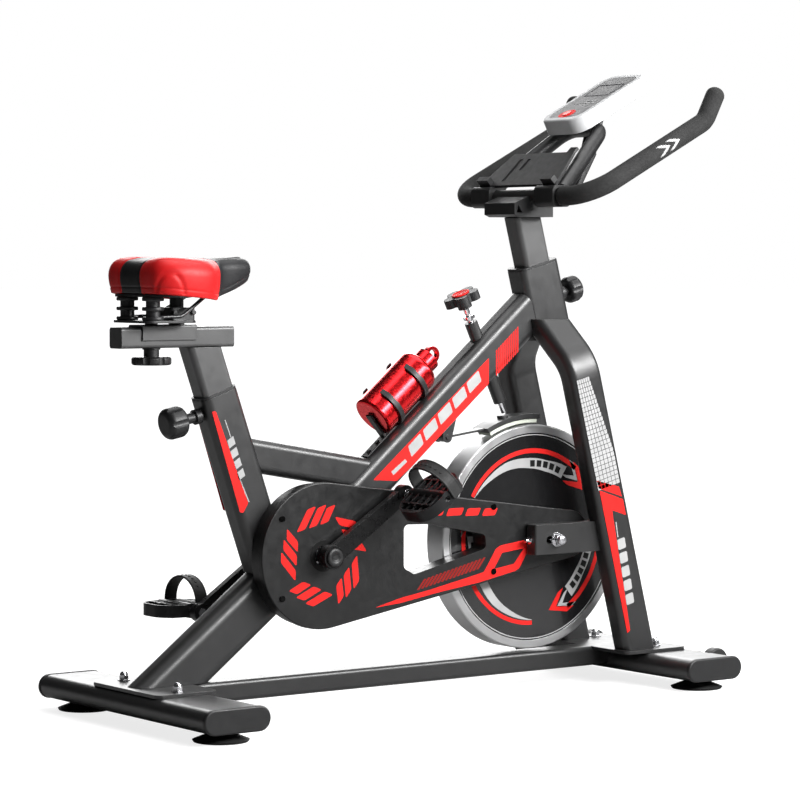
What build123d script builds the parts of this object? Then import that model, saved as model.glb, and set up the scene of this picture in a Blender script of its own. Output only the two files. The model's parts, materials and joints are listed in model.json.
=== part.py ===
from build123d import *
import os
from math import acos, atan2, cos, degrees, hypot, radians, sin

# Indoor spin bike. Millimetres, +X towards the handlebar, +Y to the rider's left, +Z up from the floor.
# The model is drawn with X = 0 over the rear stabiliser, and written with its origin on the floor under
# the middle of its outline.

# Base
WHEELBASE = 960.0
STAB_WIDE = 116.0
STAB_TALL = 37.0
STAB_Z = 36.0
REAR_STAB_HALF = 243.5
FRONT_STAB_HALF = 229.5
CAP_LONG = 14.0
TUBE_WALL = 2.5
FOOT_R = 43.5
FOOT_NECK_R = 17.0
REAR_FOOT_Y = 202.0
FRONT_FOOT_Y = 188.0
PLATE_TOP = 60.0
PLATE_THICK = PLATE_TOP - STAB_Z - STAB_TALL / 2
BOLT_Y = 80.0
BEAM_LOW, BEAM_HIGH, BEAM_WIDE = 27.0, 60.0, 50.0
WHEEL_R, WHEEL_WIDE, WHEEL_X, WHEEL_Y, WHEEL_Z = 22.0, 20.0, 1024.0, 162.0, 38.0

# Frame
CRANK = (285.0, 251.0)
AXLE = (738.0, 255.0)
LEG_FOOT = (25.0, 55.0)
LEG_TALL, LEG_WIDE = 82.0, 50.0
MAIN_END = (745.0, 638.0)
MAIN_TALL, MAIN_WIDE = 69.0, 48.0
SEAT_TOP = (118.0, 511.5)
SEAT_LEAN = 19.3
SEAT_TALL, SEAT_WIDE = 67.0, 49.0
LINK_START, LINK_END = (165.0, 416.0), (430.0, 368.0)
LINK_TALL, LINK_WIDE = 53.0, 40.0
HEAD_TOP = (754.3, 710.5)
HEAD_LEAN = 14.7
HEAD_TALL, HEAD_WIDE, HEAD_LONG = 81.0, 50.0, 120.0
FORK_FOOT = (912.0, 50.0)
FORK_LEAN = 14.4
FORK_TALL, FORK_WIDE, FORK_Y = 64.0, 42.0, 86.0
FORK_CORNER_Z, FORK_TOP_Z, CROWN_TOP = 546.0, 636.0, 621.0

# Drive
SPINDLE_R = 10.0
BEARING_R = 21.0
SHELL_R = 28.0
CRANK_LONG, CRANK_ANGLE = 170.0, 33.4
CRANK_IN, CRANK_OUT = 72.0, 91.0
PULLEY_R, HUB_PULLEY_R = 100.0, 32.0
BELT_IN_Y, BELT_OUT_Y = -31.0, -45.0
BELT_GAP, BELT_THICK = 0.35, 3.5
GUARD_FACE, GUARD_SEAM, GUARD_BACK = -60.0, -49.0, -26.0
GUARD_BIG_R, GUARD_SMALL_R = 117.0, 40.0
GUARD_NOSE = (788.0, 260.0)
GUARD_WALL = 2.5
PEDAL_Y, PEDAL_LONG, PEDAL_WIDE, PEDAL_TALL, PEDAL_PITCH = 155.0, 98.0, 90.0, 24.0, 38.0

# Flywheel
FLY_R, FLY_HALF, FLY_HUB_R, FLY_AXLE_R = 189.0, 22.5, 25.0, 6.0
FLY_RIM, FLY_WEB = 24.0, 3.0
FLY_BEARING_R = 16.0
RUNNING = 0.05
BRACKET_IN, BRACKET_OUT = 62.0, 88.0
BRACKET_BACK = 693.0
PAD_IN, PAD_OUT, SHOE_OUT = 192.0, 199.0, 207.0
PAD_FROM, PAD_TO = 85.0, 117.0
PIVOT = (566.0, 428.0)

# Seat
POST_TALL, POST_WIDE = 58.0, 40.0
SLIDER = (-60.0, 144.6)
SLIDER_LOW, SLIDER_HIGH, SLIDER_HALF = 585.0, 617.6, 18.3
CARRIAGE = (-24.0, 74.0)
FORE_KNOB_X = 4.0
STUB_X, STUB_R = 50.0, 12.5
PAN_LOW = 664.0
SADDLE_LOW, SADDLE_HIGH = 668.0, 728.0
SKIRT_LOW, NOSE_FROM, NOSE_LOW = 656.0, 100.0, 692.0

# Handlebar
BAR_X, BAR_Z, BAR_R, GRIP_R = 728.0, 826.0, 12.0, 16.0
BAR_SIDE = 185.0
BAR_KNEE = (975.0, 952.5)
BAR_TIP = (998.0, 996.0)
MAST_TALL, MAST_WIDE = 54.0, 40.0
MAST_TOP = 797.0
MAST_TRAVEL = 60.0
SLEEVE_Y, SLEEVE_LONG = 86.0, 50.0
CRADLE_HALF = 41.0
HORN_TIP, HORN_R = (868.0, 942.0), 13.0
PLATE_LONG, PLATE_TILT = 80.0, 43.0
CONSOLE_FROM, CONSOLE_TILT = (818.0, 932.0), 27.5
CONSOLE_LONG, CONSOLE_HALF, CONSOLE_THICK = 180.0, 53.0, 27.0

# Bottle
BOTTLE_R, BOTTLE_FROM, BOTTLE_LONG = 36.0, (423.0, 464.0), 128.0


def along(point, angle, distance):
    """The XZ point at a distance from another, in a direction given in degrees above +X."""
    return (point[0] + distance * cos(radians(angle)), point[1] + distance * sin(radians(angle)))


def bearing(start, end):
    """The direction from one XZ point to another, in degrees above +X."""
    return degrees(atan2(end[1] - start[1], end[0] - start[0]))


def side_plane(point, angle, y=0.0):
    """A plane at an XZ point whose normal runs at an angle above +X, with its own x axis along Y."""
    normal = (cos(radians(angle)), 0, sin(radians(angle)))
    return Plane(origin=(point[0], y, point[1]), x_dir=(0, 1, 0), z_dir=normal)


def bar(start, end, wide, tall, corner, y=0.0):
    """A solid rounded bar between two XZ points, wide along Y and tall across its run."""
    plane = side_plane(start, bearing(start, end), y)
    return extrude(plane * RectangleRounded(wide, tall, corner), hypot(end[0] - start[0], end[1] - start[1]))


def tube(start, end, wide, tall, corner, wall=TUBE_WALL, y=0.0):
    """A hollow rounded tube between two XZ points."""
    outer = bar(start, end, wide, tall, corner, y)
    return outer - bar(start, end, wide - 2 * wall, tall - 2 * wall, corner - wall, y)


def slab(profile, y_low, y_high):
    """An XZ profile made solid between two Y values."""
    return Pos(0, y_high, 0) * extrude(Plane.XZ * profile, y_high - y_low)


def rod(point, radius, y_low, y_high):
    """A round rod along Y at an XZ point."""
    return slab(Pos(*point) * Circle(radius), y_low, y_high)


def stick(start, end, radius):
    """A round rod between two points in space."""
    run = Vector(*end) - Vector(*start)
    return extrude(Plane(origin=start, z_dir=run) * Circle(radius), run.length)


def two_circle_outline(a, r_a, b, r_b):
    """The outline of a band stretched round two circles."""
    gap = hypot(b[0] - a[0], b[1] - a[1])
    line = bearing(a, b)
    turn = degrees(acos((r_a - r_b) / gap))
    corners = [along(a, line - turn, r_a), along(b, line - turn, r_b)]
    corners += [along(b, line + turn, r_b), along(a, line + turn, r_a)]
    return Pos(*a) * Circle(r_a) + Pos(*b) * Circle(r_b) + Polygon(*corners, align=None)


def mirrored(shape):
    """The same piece on the other side of the bike."""
    return mirror(shape, about=Plane.XZ)


def both_sides(shape):
    return Part() + [shape, mirrored(shape)]


# The outer solids that other tubes are coped to


def stab_solid(x, half):
    return Pos(x, half, STAB_Z) * extrude(Plane.XZ * SlotOverall(STAB_WIDE, STAB_TALL), 2 * half)


def head_point(distance):
    """A point on the head tube's line, measured down from its top."""
    return along(HEAD_TOP, 90 + HEAD_LEAN, -distance)


def seat_point(distance):
    """A point on the seat tube's line, measured down from its top."""
    return along(SEAT_TOP, 90 + SEAT_LEAN, -distance)


REAR_SOLID = stab_solid(0, REAR_STAB_HALF)
FRONT_SOLID = stab_solid(WHEELBASE, FRONT_STAB_HALF)
HEAD_SOLID = bar(head_point(HEAD_LONG), HEAD_TOP, HEAD_WIDE, HEAD_TALL, 12)
MAST_WAY = bar(head_point(HEAD_LONG + MAST_TRAVEL), head_point(0), MAST_WIDE + 3, MAST_TALL + 3, 10)
SHELL_SOLID = rod(CRANK, SHELL_R, GUARD_BACK + 0.5, 40)
LEG_SOLID = bar(LEG_FOOT, CRANK, LEG_WIDE, LEG_TALL, 20)
MAIN_SOLID = bar(CRANK, MAIN_END, MAIN_WIDE, MAIN_TALL, 16)
SEAT_BOTTOM = seat_point(320)
SEAT_PIN = seat_point(29)
SEAT_KNOB_ANGLE = 191.0
PIN_GAP = 1.2
SEAT_KNOB_START = along(SEAT_PIN, SEAT_KNOB_ANGLE, POST_TALL / 2 + PIN_GAP)
SEAT_KNOB_NECK = SEAT_TALL / 2 - POST_TALL / 2 + 2.8
HEAD_PIN = head_point(60)
HEAD_KNOB_ANGLE = HEAD_LEAN
HEAD_KNOB_START = along(HEAD_PIN, HEAD_KNOB_ANGLE, MAST_TALL / 2 + PIN_GAP)
HEAD_KNOB_NECK = HEAD_TALL / 2 - MAST_TALL / 2
SEAT_SOLID = bar(SEAT_BOTTOM, SEAT_TOP, SEAT_WIDE, SEAT_TALL, 14)


# Base


def stabiliser(x, half):
    """A flat oval tube across the bike, open at its ends, with holes for its feet and bolts."""
    inner_half = half + 1
    inside = SlotOverall(STAB_WIDE - 2 * TUBE_WALL, STAB_TALL - 2 * TUBE_WALL)
    body = stab_solid(x, half) - Pos(x, inner_half, STAB_Z) * extrude(Plane.XZ * inside, 2 * inner_half)
    foot_y = REAR_FOOT_Y if x == 0 else FRONT_FOOT_Y
    for side in (-1, 1):
        body -= Pos(x, side * foot_y, 20) * Cylinder(5.3, 20)
        body -= Pos(x, side * BOLT_Y, 36) * Cylinder(4.4, 60)
    return body


def front_stabiliser():
    """The front tube, notched at its front edge for the two transport wheels."""
    notch = Box(60, WHEEL_WIDE + 8, 60)
    body = stabiliser(WHEELBASE, FRONT_STAB_HALF)
    for side in (-1, 1):
        body -= Pos(WHEEL_X - WHEEL_R - 4 + 30, side * WHEEL_Y, STAB_Z) * notch
    return body + wheel_brackets()


def end_caps():
    """Four plastic caps, each with a rim over the tube's end and a plug inside it."""
    caps = []
    for x, half in ((0, REAR_STAB_HALF), (WHEELBASE, FRONT_STAB_HALF)):
        rim = Pos(x, 0, STAB_Z) * extrude(Plane.XZ * SlotOverall(STAB_WIDE + 2, STAB_TALL + 2), CAP_LONG / 2)
        rim = fillet(rim.faces().sort_by(Axis.Y)[0].edges(), 3)
        inset = 2 * TUBE_WALL + 0.4
        plug = Pos(x, CAP_LONG, STAB_Z) * extrude(
            Plane.XZ * SlotOverall(STAB_WIDE - inset, STAB_TALL - inset), CAP_LONG
        )
        cap = Pos(0, -half, 0) * (rim + plug)
        caps += [cap, mirrored(cap)]
    return Part() + caps


def saddle_plate(x_low, x_high, half):
    plate = Pos((x_low + x_high) / 2, 0, PLATE_TOP - PLATE_THICK / 2) * Box(x_high - x_low, 2 * half, PLATE_THICK)
    return fillet(plate.edges().filter_by(Axis.Z), 12)


def base_beam():
    """The long low beam with the plate at each end that sits on a stabiliser."""
    low, high = BEAM_LOW, BEAM_HIGH
    beam = tube((0, (low + high) / 2), (WHEELBASE, (low + high) / 2), BEAM_WIDE, high - low, 7)
    beam -= REAR_SOLID
    beam -= FRONT_SOLID
    plates = saddle_plate(-48, 62, 100) + saddle_plate(868, 1000, 118)
    plates -= REAR_SOLID
    plates -= FRONT_SOLID
    for x in (0, WHEELBASE):
        for side in (-1, 1):
            plates -= Pos(x, side * BOLT_Y, PLATE_TOP) * Cylinder(4.4, 30)
    return beam + plates


def stabiliser_bolts():
    """Four carriage bolts, heads underneath, with a washer and an acorn nut on top."""
    top = STAB_Z + STAB_TALL / 2 + PLATE_THICK
    low = STAB_Z - STAB_TALL / 2
    nut = Pos(0, 0, top + 1.6) * extrude(RegularPolygon(8, 6), 7)
    dome = Pos(0, 0, top + 8.6) * Sphere(6.6)
    washer = Pos(0, 0, top + 0.8) * Cylinder(10, 1.6)
    shank = Pos(0, 0, (top + low) / 2) * Cylinder(4, top - low)
    head = Pos(0, 0, low - 1.5) * Cylinder(9, 3)
    bolt = nut + dome + washer + shank + head
    places = [(x, side * BOLT_Y) for x in (0, WHEELBASE) for side in (-1, 1)]
    return Part() + [Pos(x, y, 0) * bolt for x, y in places]


def level_feet():
    """Four rubber discs with a thin brim, each on a neck that screws up into the stabiliser."""
    under = STAB_Z - STAB_TALL / 2
    profile = Polygon(
        (0, 0), (FOOT_R - 2, 0), (FOOT_R, 3), (FOOT_NECK_R + 4, 12), (FOOT_NECK_R, under), (0, under),
        align=None,
    )
    pad = revolve(Plane.XZ * profile, Axis.Z)
    foot = pad + Pos(0, 0, under + 9) * Cylinder(5, 18)
    places = [(0, side * REAR_FOOT_Y) for side in (-1, 1)]
    places += [(WHEELBASE, side * FRONT_FOOT_Y) for side in (-1, 1)]
    return Part() + [Pos(x, y, 0) * foot for x, y in places]


def transport_wheel():
    wheel = rod((WHEEL_X, WHEEL_Z), WHEEL_R, -WHEEL_Y - WHEEL_WIDE / 2, -WHEEL_Y + WHEEL_WIDE / 2)
    wheel = fillet(wheel.edges().filter_by(GeomType.CIRCLE), 3)
    return wheel - rod((WHEEL_X, WHEEL_Z), 4 + RUNNING, -WHEEL_Y - 20, -WHEEL_Y + 20)


def wheel_brackets():
    """Two cheeks and a pin for each transport wheel, set in the stabiliser's notch."""
    cheek_out, cheek_in = WHEEL_WIDE / 2 + 4, WHEEL_WIDE / 2 + 1
    back = WHEEL_X - WHEEL_R - 4
    sheet = Pos((back + WHEEL_X) / 2, WHEEL_Z) * Rectangle(WHEEL_X - back, 22)
    sheet += Pos(WHEEL_X, WHEEL_Z) * Circle(11)
    cheeks = slab(sheet, -WHEEL_Y - cheek_out, -WHEEL_Y - cheek_in)
    cheeks += slab(sheet, -WHEEL_Y + cheek_in, -WHEEL_Y + cheek_out)
    pin = rod((WHEEL_X, WHEEL_Z), 4, -WHEEL_Y - cheek_out, -WHEEL_Y + cheek_out)
    return both_sides(cheeks + pin)


# Frame tubes


def rear_leg():
    leg = tube(along(LEG_FOOT, bearing(LEG_FOOT, CRANK), -60), CRANK, LEG_WIDE, LEG_TALL, 20)
    leg -= SHELL_SOLID
    leg -= MAIN_SOLID
    return leg - Pos(0, 0, PLATE_TOP - 100) * Box(600, 200, 200)


def main_tube():
    main = tube(CRANK, MAIN_END, MAIN_WIDE, MAIN_TALL, 16)
    main -= SHELL_SOLID
    main -= HEAD_SOLID
    return main - bar(SLEEVE_LOW, SLEEVE_TOP, 22.2, 22.2, 11)


def pin_hole(pin, angle):
    """The hole that a pull knob's plunger passes through, from a tube's middle outwards."""
    out = along(pin, angle, 60)
    return stick((pin[0], 0, pin[1]), (out[0], 0, out[1]), 5)


def seat_tube():
    seat = tube(SEAT_BOTTOM, SEAT_TOP, SEAT_WIDE, SEAT_TALL, 14)
    seat -= bar(LEG_FOOT, along(CRANK, bearing(LEG_FOOT, CRANK), 60), 100, LEG_TALL, 1)
    seat -= pin_hole(SEAT_PIN, SEAT_KNOB_ANGLE)
    return seat.solids().sort_by(Axis.Z)[-1]


def link_tube():
    link = tube(LINK_START, LINK_END, LINK_WIDE, LINK_TALL, 12)
    link -= SEAT_SOLID
    link -= MAIN_SOLID
    return link.solids().sort_by(SortBy.VOLUME)[-1]


def head_tube():
    head = HEAD_SOLID - bar(head_point(HEAD_LONG + 5), along(HEAD_TOP, 90 + HEAD_LEAN, 5), 44, 75, 9)
    return head - pin_hole(HEAD_PIN, HEAD_KNOB_ANGLE)


def fork_leg():
    """A near-side leg: straight up from the base, then bent inwards to the head tube."""
    lean = radians(FORK_LEAN)

    def spot(y, z):
        return Vector(FORK_FOOT[0] - (z - FORK_FOOT[1]) * sin(lean) / cos(lean), y, z)

    path = FilletPolyline(
        spot(-FORK_Y, 20), spot(-FORK_Y, FORK_CORNER_Z), spot(-8, FORK_TOP_Z), radius=70
    )
    plane = Plane(origin=path @ 0, x_dir=(0, 1, 0), z_dir=path % 0)
    outer = sweep(plane * RectangleRounded(FORK_WIDE, FORK_TALL, 13), path=path)
    wall = 2 * TUBE_WALL
    inner = sweep(plane * RectangleRounded(FORK_WIDE - wall, FORK_TALL - wall, 10.5), path=path)
    leg = outer - inner
    leg -= Pos(800, 0, CROWN_TOP + 100) * Box(800, 400, 200)
    leg -= HEAD_SOLID + MAIN_SOLID + MAST_WAY
    return leg - Pos(900, 0, PLATE_TOP - 100) * Box(800, 400, 200)


def bottom_bracket_shell():
    return SHELL_SOLID - rod(CRANK, BEARING_R, -60, 60)


def bearings():
    """Two bearings in the bottom bracket and two on the flywheel axle."""
    rings = []
    for y_low, y_high in ((GUARD_BACK + 0.5, GUARD_BACK + 12.5), (28, 40)):
        rings.append(rod(CRANK, BEARING_R, y_low, y_high) - rod(CRANK, SPINDLE_R + RUNNING, -60, 60))
    for y_low, y_high in ((-46, -36), (16, 26)):
        rings.append(rod(AXLE, FLY_BEARING_R, y_low, y_high) - rod(AXLE, FLY_AXLE_R, -60, 60))
    return Part() + rings


def dropout_bracket():
    """A box arm from the fork leg back to the axle, slotted for chain tension."""
    low, high = AXLE[1] - 24, AXLE[1] + 26
    x_mid, x_long = (BRACKET_BACK + 845) / 2, 845 - BRACKET_BACK
    y_mid, y_wide = -(BRACKET_IN + BRACKET_OUT) / 2, BRACKET_OUT - BRACKET_IN
    z_mid, z_tall = (low + high) / 2, high - low
    arm = Pos(x_mid, y_mid, z_mid) * Box(x_long, y_wide, z_tall)
    arm = fillet(arm.edges().filter_by(Axis.Z), 4)
    arm -= Pos(x_mid + 4, y_mid, z_mid) * Box(x_long, y_wide - 8, z_tall - 8)
    slot = Pos(AXLE[0] - 4, AXLE[1]) * SlotOverall(36, 2 * FLY_AXLE_R + 0.4)
    arm -= slab(slot, -120, -40)
    arm -= stick((680, y_mid, AXLE[1]), (710, y_mid, AXLE[1]), 3.6)
    lean = radians(FORK_LEAN)
    foot = (FORK_FOOT[0] + 30 * sin(lean) / cos(lean), FORK_FOOT[1] - 30)
    top = (FORK_FOOT[0] - 400 * sin(lean) / cos(lean), FORK_FOOT[1] + 400)
    arm -= bar(foot, top, FORK_WIDE, FORK_TALL, 13, y=-FORK_Y)
    return arm.solids().sort_by(Axis.X)[0]


def axle_hardware():
    """Flywheel axle with its end nuts, spacers and the two tensioner bolts."""
    nut = slab(Pos(*AXLE) * RegularPolygon(10, 6), BRACKET_OUT, BRACKET_OUT + 9)
    nut += rod(AXLE, 12, BRACKET_OUT, BRACKET_OUT + 1.6)
    axle = rod(AXLE, FLY_AXLE_R, -102, 102)
    axle += nut + rod(AXLE, 9, 31, BRACKET_IN)
    axle += mirrored(nut + rod(AXLE, 9, 47, BRACKET_IN))
    y_mid = (BRACKET_IN + BRACKET_OUT) / 2
    shaft = stick((BRACKET_BACK - 12, y_mid, AXLE[1]), (AXLE[0], y_mid, AXLE[1]), 3.5)
    head = Pos(BRACKET_BACK - 4, y_mid, AXLE[1]) * Rot(0, 90, 0) * extrude(RegularPolygon(7, 6), 4)
    bolt = shaft + head
    return axle + bolt + mirrored(bolt)


# Drive guard


def window_outline(grow=0.0):
    """The rounded wedge-shaped window through the guard."""
    corners = [(443, 222), (464, 211), (611, 245), (609, 268), (498, 291), (443, 293)]
    outline = Polygon(*corners, align=None)
    outline = fillet(outline.vertices(), 9)
    return offset(outline, grow) if grow else outline


def guard_shell(face_y, back_y, grow):
    """One tray of the guard, closed on the face_y side, with a tunnel round the window."""
    outline = two_circle_outline(CRANK, GUARD_BIG_R + grow, GUARD_NOSE, GUARD_SMALL_R + grow)
    inside = two_circle_outline(
        CRANK, GUARD_BIG_R + grow - GUARD_WALL, GUARD_NOSE, GUARD_SMALL_R + grow - GUARD_WALL
    )
    low, high = min(face_y, back_y), max(face_y, back_y)
    pocket_low = low + GUARD_WALL if face_y < back_y else low - 1
    pocket_high = high + 1 if face_y < back_y else high - GUARD_WALL
    shell = slab(outline, low, high) - slab(inside, pocket_low, pocket_high)
    shell += slab(window_outline(GUARD_WALL), low, high)
    return shell - slab(window_outline(), low - 5, high + 5)


def guard_outer():
    shell = guard_shell(GUARD_FACE, GUARD_SEAM, 0)
    shell = fillet(shell.faces().sort_by(Axis.Y)[0].outer_wire().edges(), 2)
    shell -= rod(CRANK, SPINDLE_R + 6, -80, -40)
    shell -= rod(AXLE, 12, -80, -40)
    for x, z in GUARD_SCREWS:
        shell -= rod((x, z), 2.6, -80, -40)
    return shell


def guard_inner():
    shell = guard_shell(GUARD_BACK, GUARD_SEAM, -3)
    shell -= rod(CRANK, SHELL_R + 0.5, -60, 0)
    shell -= rod(AXLE, FLY_HUB_R + 2, -60, 0)
    return shell


GUARD_SCREWS = ((626, 313), (626, 206), (206, 314), (206, 188))


def frame_fasteners():
    """The stabiliser bolts, the guard's round-headed screws and the two that hold the bottle cage."""
    screws = stabiliser_bolts().solids()
    for x, z in GUARD_SCREWS:
        head = rod((x, z), 5, GUARD_FACE - 2, GUARD_FACE)
        screws.append(head + rod((x, z), 2.4, GUARD_FACE - 1, GUARD_FACE + 12))
    for distance in CAGE_SCREWS:
        foot = cage_point(distance, 0)
        top = cage_point(distance, 4.6)
        screws.append(stick((foot[0], 0, foot[1]), (top[0], 0, top[1]), 4))
    return Part() + screws


def drive_belt():
    gap, thick = BELT_GAP, BELT_THICK
    outside = two_circle_outline(CRANK, PULLEY_R + gap + thick, AXLE, HUB_PULLEY_R + gap + thick)
    inside = two_circle_outline(CRANK, PULLEY_R + gap, AXLE, HUB_PULLEY_R + gap)
    return slab(outside, BELT_OUT_Y, BELT_IN_Y) - slab(inside, BELT_OUT_Y - 1, BELT_IN_Y + 1)


# Crank and pedals

CRANK_TIP = along(CRANK, CRANK_ANGLE, CRANK_LONG)
CRANK_TAIL = along(CRANK, CRANK_ANGLE, -CRANK_LONG)


def crank_spindle():
    """The spindle, its hub for the drive pulley and a bolt cap at each end."""
    spindle = rod(CRANK, SPINDLE_R, -CRANK_OUT + 2, CRANK_OUT - 2)
    hub = rod(CRANK, 14, -47, -28)
    caps = rod(CRANK, 11, -CRANK_OUT - 3, -CRANK_OUT) + rod(CRANK, 11, CRANK_OUT, CRANK_OUT + 3)
    necks = rod(CRANK, 6, -CRANK_OUT, -CRANK_OUT + 2) + rod(CRANK, 6, CRANK_OUT - 2, CRANK_OUT)
    return spindle + hub + caps + necks


def crank_arm(tip, y_low, y_high):
    """A tapered forged arm with a boss at each end."""
    y_mid = (y_low + y_high) / 2
    arm = slab(two_circle_outline(CRANK, 15, tip, 12), y_mid - 6, y_mid + 6)
    arm += rod(CRANK, 19, y_low, y_high)
    arm += rod(tip, 15, y_mid - 8, y_mid + 8)
    arm -= rod(CRANK, SPINDLE_R, -CRANK_OUT + 2, CRANK_OUT - 2)
    arm -= rod(CRANK, 6, -CRANK_OUT - 1, CRANK_OUT + 1)
    return arm - rod(tip, 7, y_low - 5, y_high + 5)


def crank_arms():
    return Part() + [crank_arm(CRANK_TIP, -CRANK_OUT, -CRANK_IN), crank_arm(CRANK_TAIL, CRANK_IN, CRANK_OUT)]


def drive_pulley():
    wheel = rod(CRANK, PULLEY_R, BELT_OUT_Y, BELT_IN_Y)
    wheel -= rod(CRANK, PULLEY_R - 10, BELT_OUT_Y - 1, BELT_OUT_Y + 5)
    wheel -= rod(CRANK, PULLEY_R - 10, BELT_IN_Y - 5, BELT_IN_Y + 1)
    for step in range(5):
        wheel -= rod(along(CRANK, 72 * step, 58), 20, -60, 0)
    wheel += rod(CRANK, 24, BELT_OUT_Y, BELT_IN_Y)
    return wheel - rod(CRANK, 14, -60, 0)


def pedal_axle(tip, side):
    """A pedal's axle, threaded into its crank arm."""
    y_mid = side * (CRANK_IN + CRANK_OUT) / 2
    end = side * (PEDAL_Y + 38)
    shaft = rod(tip, 5, min(y_mid, end), max(y_mid, end))
    thread = rod(tip, 7, y_mid - 8, y_mid + 8)
    flange_a, flange_b = side * (CRANK_OUT - 1), side * (CRANK_OUT + 5)
    return shaft + thread + rod(tip, 9, min(flange_a, flange_b), max(flange_a, flange_b))


def pedal(tip, y, pitch):
    """A rounded platform pedal: a core tube, and an open grid of holes with treads between them."""
    tall, long = PEDAL_TALL, PEDAL_LONG
    outline = RectangleRounded(long, PEDAL_WIDE, 34)
    body = Pos(0, 0, 4 - tall / 2) * extrude(outline, tall - 8)
    ring = outline - RectangleRounded(long - 7, PEDAL_WIDE - 7, 30.5)
    body += Pos(0, 0, 2 - tall / 2) * extrude(ring, tall - 4)
    for side in (-1, 1):
        for column, rows in ((21, (-1.5, -0.5, 0.5, 1.5)), (35.5, (-1.45, -0.5, 0.5, 1.45))):
            for row in rows:
                body -= Pos(side * column, row * 17, 0) * Box(10, 12, tall)
        body += Pos(side * 28.3, 0, 0) * Box(3, PEDAL_WIDE - 18, tall - 2)
    for row in (-2, -1, 0, 1, 2):
        body += Pos(0, row * 17, 0) * Box(70 - 6 * abs(row), 3, tall - 2)
    body += Rot(90, 0, 0) * Cylinder(12, PEDAL_WIDE)
    body -= Rot(90, 0, 0) * Cylinder(5 + RUNNING, PEDAL_WIDE + 4)
    return Pos(tip[0], y, tip[1]) * Rot(0, -pitch, 0) * body


def toe_strap(tip, y, pitch):
    """A flat strap that arches over the pedal and clips to its two sides."""
    half, spring = PEDAL_WIDE / 2 + 0.4, PEDAL_TALL / 2
    arch = Pos(0, spring) * (Ellipse(half + 3, 41) - Ellipse(half, 38))
    arch -= Pos(0, spring - 100) * Rectangle(200, 200)
    for side in (-1, 1):
        arch += Pos(side * (half + 1.5), spring / 2 - 4) * Rectangle(3, spring + 8)
    band = Pos(19, 0, 0) * extrude(Plane.YZ * arch, 11, both=True)
    return Pos(tip[0], y, tip[1]) * Rot(0, -pitch, 0) * band


# Flywheel


def flywheel_disc():
    """The heavy disc: a thick rim, a thinner web and the bored hub."""
    disc = rod(AXLE, FLY_R, -FLY_HALF, FLY_HALF)
    disc = chamfer(disc.edges().filter_by(GeomType.CIRCLE), 2)
    for low, high in ((-FLY_HALF - 1, -FLY_WEB), (FLY_WEB, FLY_HALF + 1)):
        disc -= rod(AXLE, FLY_R - FLY_RIM, low, high)
    for low, high in ((-FLY_HALF - 1, -FLY_HALF + 6), (FLY_HALF - 6, FLY_HALF + 1)):
        disc -= rod(AXLE, FLY_R - 14, low, high)
    disc += rod(AXLE, FLY_HUB_R, -46, 30)
    disc += rod(AXLE, HUB_PULLEY_R, BELT_OUT_Y, BELT_IN_Y)
    disc = disc - rod(AXLE, FLY_BEARING_R + RUNNING, -80, 60)
    return disc


def flywheel_covers():
    """Thin gloss discs set into the recess on each face."""
    cover = rod(AXLE, FLY_R - 14.2, -FLY_HALF + 1.5, -FLY_HALF + 5.8)
    cover = cover - rod(AXLE, FLY_HUB_R + 0.2, -60, 60)
    far = rod(AXLE, FLY_R - 14.2, FLY_HALF - 5.8, FLY_HALF - 1.5)
    return cover + (far - rod(AXLE, FLY_HUB_R + 0.2, -60, 60))


# Resistance brake

KNOB_AT = (608.0, 652.0)
ROD_END = (682.5, 491.0)
ROD_ANGLE = bearing(KNOB_AT, ROD_END)
SLEEVE_TOP = along(KNOB_AT, ROD_ANGLE, 38)
SLEEVE_LOW = along(KNOB_AT, ROD_ANGLE, 186)


def brake_sleeve():
    """The steel sleeve welded through the main tube that guides the tension rod."""
    sleeve = bar(SLEEVE_LOW, SLEEVE_TOP, 22, 22, 10.9)
    return sleeve - bar(along(SLEEVE_LOW, ROD_ANGLE, 5), along(SLEEVE_TOP, ROD_ANGLE, -5), 11.2, 11.2, 5.5)


def tension_rod():
    end = along(KNOB_AT, ROD_ANGLE, 206)
    start = along(KNOB_AT, ROD_ANGLE, 8)
    shaft = stick((start[0], 0, start[1]), (end[0], 0, end[1]), 5)
    collar_top = along(KNOB_AT, ROD_ANGLE, 26)
    collar_low = along(KNOB_AT, ROD_ANGLE, 32)
    return shaft + stick((collar_top[0], 0, collar_top[1]), (collar_low[0], 0, collar_low[1]), 10)


def tension_knob():
    """A five-lobed knob on top of the rod."""
    outline = Circle(22)
    for step in range(5):
        outline += Rot(0, 0, 72 * step) * Pos(20, 0) * Circle(11)
    knob = extrude(outline, 15)
    knob += Pos(0, 0, -5) * Cylinder(12, 10)
    knob = knob - Pos(0, 0, -4.5) * Cylinder(5 + RUNNING, 11.2)
    plane = side_plane(along(KNOB_AT, ROD_ANGLE, 1.8), ROD_ANGLE + 180)
    return plane * knob


def brake_mount():
    """The rod's sleeve, and two lugs under the main tube with the brake arm's pivot pin."""
    lug_outline = two_circle_outline((PIVOT[0] + 2, PIVOT[1] + 34), 16, PIVOT, 9)
    lugs = slab(lug_outline, 11, 14) + slab(lug_outline, -14, -11)
    lugs -= MAIN_SOLID
    return Part() + [*(lugs + rod(PIVOT, 4, -16, 16)).solids(), brake_sleeve()]


def sector(radius_in, radius_out, start, end):
    """A ring sector about the flywheel axle."""
    ring = Pos(*AXLE) * (Circle(radius_out) - Circle(radius_in))
    far = radius_out * 1.4
    wedge = Polygon(
        AXLE, along(AXLE, start, far), along(AXLE, (start + end) / 2, far), along(AXLE, end, far), align=None
    )
    return ring & wedge


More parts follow.
